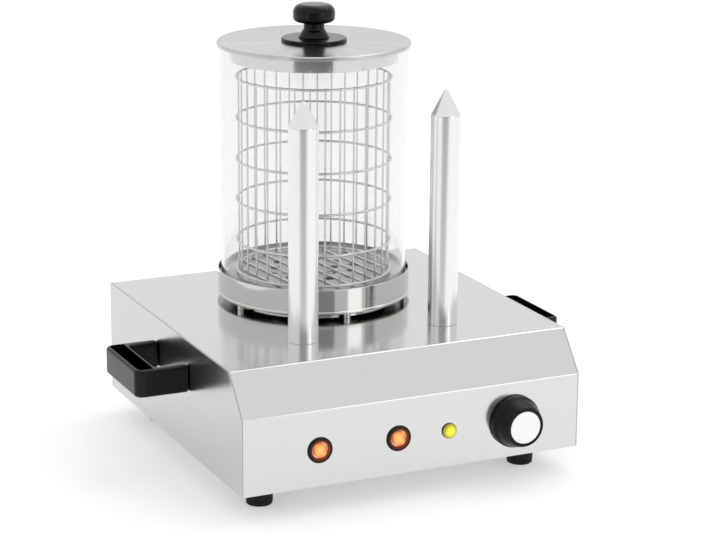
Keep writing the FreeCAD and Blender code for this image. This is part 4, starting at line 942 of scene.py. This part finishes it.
# %% Bun spikes
SPIKE_CONE = 26
for side in ("left", "right"):
    low, high, middle = span(f"{side}_bun_spike")
    radius = (high.x - low.x) / 2
    spike = turned(f"{side}_spike_bar", soften([
        (0, top), (radius, top, 0.5), (radius, high.z - SPIKE_CONE, 5),
        (1.6, high.z - 0.3, 1.2), (0, high.z)], closed=False), (middle.x, middle.y, 0), steps=96)
    dress(spike, "base", "spike_aluminium", spike_metal, f"{side}_bun_spike")

# %% [markdown]
# ## The controls
#
# On the front band sit two round rocker switches, a pilot lamp and the thermostat knob. The knob
# is a hollow moulding that swells from its skirt to its grip, and a bright metal disc is let into
# its face. Both are turned about the shaft, which points to the front.

# %% Thermostat knob
KNOB_GAP = 0.8
KNOB_HOLLOW = 3.6
HOLLOW_RADIUS = 17.5
GRIP_RADIUS = 20.6
CAP_RADIUS = 17
CAP_PLAY = 0.2
CAP_SEAT = 1
low, high, middle = span("control_knob")
skirt = (high.x - low.x) / 2
face = front - low.y
seat = face - CAP_SEAT
control = (middle.x, front, middle.z)
knob = turned("thermostat_knob", soften([
    (0, KNOB_HOLLOW), (HOLLOW_RADIUS, KNOB_HOLLOW), (HOLLOW_RADIUS, KNOB_GAP), (skirt, KNOB_GAP, 0.7),
    (skirt, 4.5, 2), (GRIP_RADIUS + 4.5, 9, 8), (GRIP_RADIUS + 2.8, 16, 6), (GRIP_RADIUS, face, 1.3),
    (CAP_RADIUS + CAP_PLAY, face, 0.3), (CAP_RADIUS + CAP_PLAY, seat), (0, seat)], closed=False),
    control, TO_FRONT, steps=128)
dress(knob, "knob", "black_nylon", nylon, "control_knob")

cap_face = front - span("knob_cap")[0].y
cap = turned("bright_cap", soften([
    (0, seat), (CAP_RADIUS, seat), (CAP_RADIUS, cap_face, 0.5), (0, cap_face)], closed=False),
    control, TO_FRONT)
dress(cap, "knob", "knob_cap_metal", cap_metal, "knob_cap")

# %% [markdown]
# A lamp behind a lens lights its middle most. The glow is worked out point by point from a simple
# rule, a square for the rockers and a circle for the pilot lamp, and written as an attribute
# before the piece is set in its place.

# %% Glow attribute
def add_glow(piece, brightness):
    """Writes each point's glow, which a function works out from its place in millimetres."""
    glow = piece.data.attributes.new("glow", "FLOAT", "POINT")
    for point, value in zip(piece.data.vertices, glow.data):
        value.value = min(max(brightness(point.co / MM), 0.0), 1.0)


print("the glow goes from 0 at a rim to 1 in a middle")

# %% [markdown]
# A round rocker switch snaps into a hole: its bezel lies on the sheet and its body behind it. The amber
# rocker has a lamp behind it, and the bezel's inner edge carries a painted glow for that lamp's light. Its
# face is dished, which a square law on its height gives, and it rests tilted with its upper half pressed in,
# as both do in the photograph.

# %% Rocker switches
ROCKER = 7.8
ROCKER_TILT = math.radians(-9)
DISH = 1.4
BEZEL = 13.5
SWITCH_BODY = 9.9
SWITCH_DEPTH = 19


def lit_square(place):
    """1 in the middle of the rocker, falling to 0 towards the sides of a square."""
    return 1 - (max(abs(place.x), abs(place.y)) / ROCKER) ** 2


def painted_glow_rim(place):
    """Painted glow: 1 on the bezel's inner edge, 0 on its outer half."""
    return (11.0 - math.hypot(place.x, place.y)) / 2.5


for side in ("left", "right"):
    _, _, middle = span(f"{side}_switch_body")
    bezel = turned(f"{side}_switch_bezel", soften([
        (0, -5), (8.5, -5), (8.5, 0.4), (10.2, 2.2, 0.6), (12.6, 2.4, 0.8), (BEZEL, 0.9, 0.6), (BEZEL, 0),
        (SWITCH_BODY, 0), (SWITCH_BODY, -SWITCH_DEPTH), (0, -SWITCH_DEPTH)], closed=False),
        (0, 0, 0), steps=64)
    add_glow(bezel, painted_glow_rim)
    bezel.data.transform(Matrix.Translation(Vector((middle.x, front, middle.z)) * MM) @ TO_FRONT)
    dress(bezel, "base", "black_nylon", bezel_painted_glow, f"{side}_switch_body")

    rocker = turned(f"{side}_rocker_lens", [
        (0, -3), (7.4, -3), (ROCKER, -2.6), (ROCKER, 1.2), (7.65, 1.5), (7.3, 1.6), (6.4, 1.6),
        (5, 1.6), (3.5, 1.6), (2, 1.6), (0, 1.6)], (0, 0, 0), steps=64)
    for vert in rocker.data.vertices:
        if vert.co.z > 1.1 * MM:
            vert.co.z += DISH * MM * (vert.co.y / (ROCKER * MM)) ** 2
    add_glow(rocker, lit_square)
    rocker.data.transform(Matrix.Translation(Vector((middle.x, front + 0.5, middle.z)) * MM)
                          @ Matrix.Rotation(ROCKER_TILT, 4, "X") @ TO_FRONT)
    dress(rocker, f"{side}_rocker", "orange_lens", rocker_orange, f"{side}_switch_rocker")

# %% [markdown]
# The pilot lamp is a domed yellow lens that nearly covers its bezel. The dome's section is a
# quarter of an ellipse, and it glows from its middle as the rockers do.

# %% Pilot lamp
LAMP_BODY = 4.9
LAMP_DEPTH = 20
LAMP_BEZEL = 8.2
BEZEL_RISE = 1.2
LENS = 8.0
LENS_RISE = 3.8
_, _, middle = span("pilot_lamp_body")
body = turned("lamp_bezel", soften([
    (0, -LAMP_DEPTH), (LAMP_BODY, -LAMP_DEPTH), (LAMP_BODY, 0), (LAMP_BEZEL, 0, 0.2),
    (LAMP_BEZEL, BEZEL_RISE, 0.4), (0, BEZEL_RISE)], closed=False),
    (middle.x, front, middle.z), TO_FRONT, steps=48)
dress(body, "base", "black_nylon", nylon, "pilot_lamp_body")

quarter = [math.radians(a) for a in range(0, 90, 9)]
dome = [(LENS * math.cos(a), BEZEL_RISE + LENS_RISE * math.sin(a)) for a in quarter]
lens_piece = turned("yellow_lens_dome", [(0, BEZEL_RISE), *dome, (0, BEZEL_RISE + LENS_RISE)],
                    (0, 0, 0), steps=48)
add_glow(lens_piece, lambda place: 1 - (math.hypot(place.x, place.y) / LENS) ** 2)
lens_piece.data.transform(Matrix.Translation(Vector((middle.x, front, middle.z)) * MM) @ TO_FRONT)
dress(lens_piece, "base", "yellow_lens", lamp_yellow, "pilot_lamp_lens", sharp=60)

# %% [markdown]
# ## The cord gland
#
# At the back the mains lead enters through a polyamide gland. Its nose has ribs that let it bend
# with the lead.

# %% Cord gland
NOSE = 6.2
BORE = 3.8
RIBS = 6
RIB_PITCH = 3
RIB_DEPTH = 0.9
_, high, middle = span("cord_gland")
reach = high.y - back - SHEET
groove = NOSE - RIB_DEPTH
ribs = []
for i in range(RIBS):
    start = 5 + i * RIB_PITCH
    ribs += [(NOSE, start), (NOSE, start + 1.8, 0.3), (groove, start + 2.0), (groove, start + 2.8)]
gland = turned("ribbed_gland", soften([
    (BORE, -16), (8, -16), (8, 0), (12, 0, 0.4), (12, 3, 1.0), (NOSE, 3.4), *ribs, (NOSE, reach - 1),
    (NOSE, reach, 0.6), (BORE, reach)]), (middle.x, back + SHEET, middle.z), TO_BACK, ring=True, steps=48)
dress(gland, "base", "black_nylon", nylon, "cord_gland")

# %% [markdown]
# ## The other pieces
#
# Everything inside, below and behind keeps its CAD shape and takes the material of its slot.

# %% Materials for the CAD pieces that stay
slot_materials = {
    "stainless_casing": casing_steel, "stainless_bright": ring_steel_in_painted_shade, "basket_wire": wire_steel,
    "spike_aluminium": spike_metal, "glass_clear": glass, "black_bakelite": bakelite, "black_nylon": nylon,
    "foot_rubber": rubber, "orange_lens": rocker_orange, "yellow_lens": lamp_yellow,
    "knob_cap_metal": cap_metal, "zinc_fasteners": zinc, "heater_sheath": heater_steel, "copper_tube": copper,
    "cream_moulding": cream}
for subpart in frame["record"]["subparts"]:
    node = nodes[subpart["node"]]
    material = slot_materials[subpart["material_slot"]]
    if not node.material_slots:
        node.data.materials.append(material)
    for place in node.material_slots:
        place.material = material
print(len(slot_materials), "slots have their material")

# %% [markdown]
# ## Floor and light
#
# The photograph was taken on white with large soft lights. Polished metal shows what surrounds
# it, so the surroundings matter as much as the lamps.
#
# The floor is one large sheet of pale paper. A little light of its own lifts it to white where the
# camera, the metal and the glass see it, and the machine's shadow stays.

# %% Floor
def flat_sheet(name, corners, height):
    """A level sheet that belongs to the stage and not to the machine."""
    bm = bmesh.new()
    bm.faces.new([bm.verts.new((x, y, height)) for x, y in corners])
    sheet = new_piece(name, bm)
    return sheet


FLOOR_REACH = 30000
FLOOR_LEVEL = -0.2
floor = flat_sheet("floor", [(-FLOOR_REACH, -FLOOR_REACH), (FLOOR_REACH, -FLOOR_REACH),
                             (FLOOR_REACH, FLOOR_REACH), (-FLOOR_REACH, FLOOR_REACH)], FLOOR_LEVEL)
# Matt paper: it has no gloss and takes a soft shadow.
floor_paint, tree, shader = new_material("pale matt paper")
ray = add_node(tree, "ShaderNodeLightPath")
seen = add_node(tree, "ShaderNodeMath", {0: ray.outputs["Is Camera Ray"], 1: ray.outputs["Is Glossy Ray"]},
                operation="MAXIMUM")
shown = add_node(tree, "ShaderNodeMath", {0: seen.outputs[0], 1: ray.outputs["Is Transmission Ray"]},
                 operation="MAXIMUM")
lift = add_node(tree, "ShaderNodeMapRange", {"Value": shown.outputs[0], "To Min": 0.1, "To Max": 0.35})
feed(shader, Base_Color=hex_colour("#DDDDDD"), Roughness=0.9, Specular_IOR_Level=0.0,
     Emission_Color=hex_colour("#FFFFFF"), Emission_Strength=lift.outputs["Result"])
floor.data.materials.append(floor_paint)
print("the floor reaches", FLOOR_REACH * MM, "m each way")

# %% [markdown]
# Photographers lay grey cards just out of the picture, to give bright metal a darker edge. A pale
# one towards the camera draws a soft stripe down the spikes. An upright mirror looks down at the
# floor, the further away the higher it stands, so a darker card follows where the lid's collar
# sees it. The cards are arcs round the machine, which keeps the ends of the stripes level.

# %% Cards on the floor
CARD_LEVEL = 1
CARD_NEAR = 560
CARD_SPLIT = 2160
CARD_FAR = 2365
CARD_ANGLE = 20
FAR_ANGLE = 26
ARC_STEP = 2


def arc_points(distance, half_angle):
    """Points on an arc round the machine, centred on the camera's direction."""
    turns = [AZIMUTH + math.radians(turn) for turn in range(-half_angle, half_angle + 1, ARC_STEP)]
    return [(distance * math.sin(turn), -distance * math.cos(turn)) for turn in turns]


near_arc = arc_points(CARD_NEAR, CARD_ANGLE)
floor_card = flat_sheet("floor_card", near_arc + arc_points(CARD_SPLIT, CARD_ANGLE)[::-1], CARD_LEVEL)
far_edge = arc_points(CARD_FAR, FAR_ANGLE)
far_card = flat_sheet("far_card", arc_points(CARD_SPLIT, FAR_ANGLE) + far_edge[::-1], CARD_LEVEL)
print("cards from", CARD_NEAR, "to", CARD_FAR, "mm")

# %% [markdown]
# At the cards' far end stands a board. The seat ring sees it by way of the casing's top and gets
# the darker patch in its middle from it. Cards and board show only in reflections, so they neither
# hide the machine nor take light from it.

# %% Board at the cards' far end
BOARD_TOP = 1250
bm = bmesh.new()
for start, end in zip(far_edge, far_edge[1:]):
    bm.faces.new([bm.verts.new((*corner, height)) for corner, height in (
        (start, CARD_LEVEL), (end, CARD_LEVEL), (end, BOARD_TOP), (start, BOARD_TOP))])
front_board = new_piece("front_board", bm)
print("the board is", BOARD_TOP, "mm high")

for sheet, code in ((floor_card, "#CCCCCC"), (far_card, "#585858"), (front_board, "#A8A8A8")):
    paint, tree, shader = new_material(sheet.name)
    feed(shader, Base_Color=hex_colour(code), Roughness=0.9, Specular_IOR_Level=0.0)
    sheet.data.materials.append(paint)
    sheet.visible_camera = False
    sheet.visible_diffuse = False
    sheet.visible_shadow = False

# %% [markdown]
# Two softboxes light the machine: a broad one above at the right, which throws the shadow to the
# left, and a smaller one in front whose glint runs along the folds and the black mouldings. Area
# lamps do for both. A white sky fills the rest, as the studio's white walls did.

# %% Softboxes and sky
def softbox(name, place, width, height, watts):
    """A lamp with a rectangular front, in metres, that faces the machine."""
    light = bpy.data.lights.new(name, "AREA")
    light.shape = "RECTANGLE"
    light.size = width
    light.size_y = height
    light.energy = watts
    stand = bpy.data.objects.new(name, light)
    bpy.context.scene.collection.objects.link(stand)
    stand.matrix_world = Matrix.Translation(place) @ place.to_track_quat("Z", "Y").to_matrix().to_4x4()
    print(name, watts, "W")


softbox("overhead_softbox", Vector((1.1, 0.5, 2.4)), 2.4, 1.6, 13)
softbox("front_softbox", Vector((0.95, -1.9, 0.8)), 0.7, 0.9, 2)

world = bpy.data.worlds.new("white studio")
bpy.context.scene.world = world
world.use_nodes = True
tree = world.node_tree
tree.nodes.clear()
sky = add_node(tree, "ShaderNodeBackground", {"Color": hex_colour("#F9F9F9"), "Strength": 1.0})
add_node(tree, "ShaderNodeOutputWorld", {"Surface": sky.outputs["Background"]})
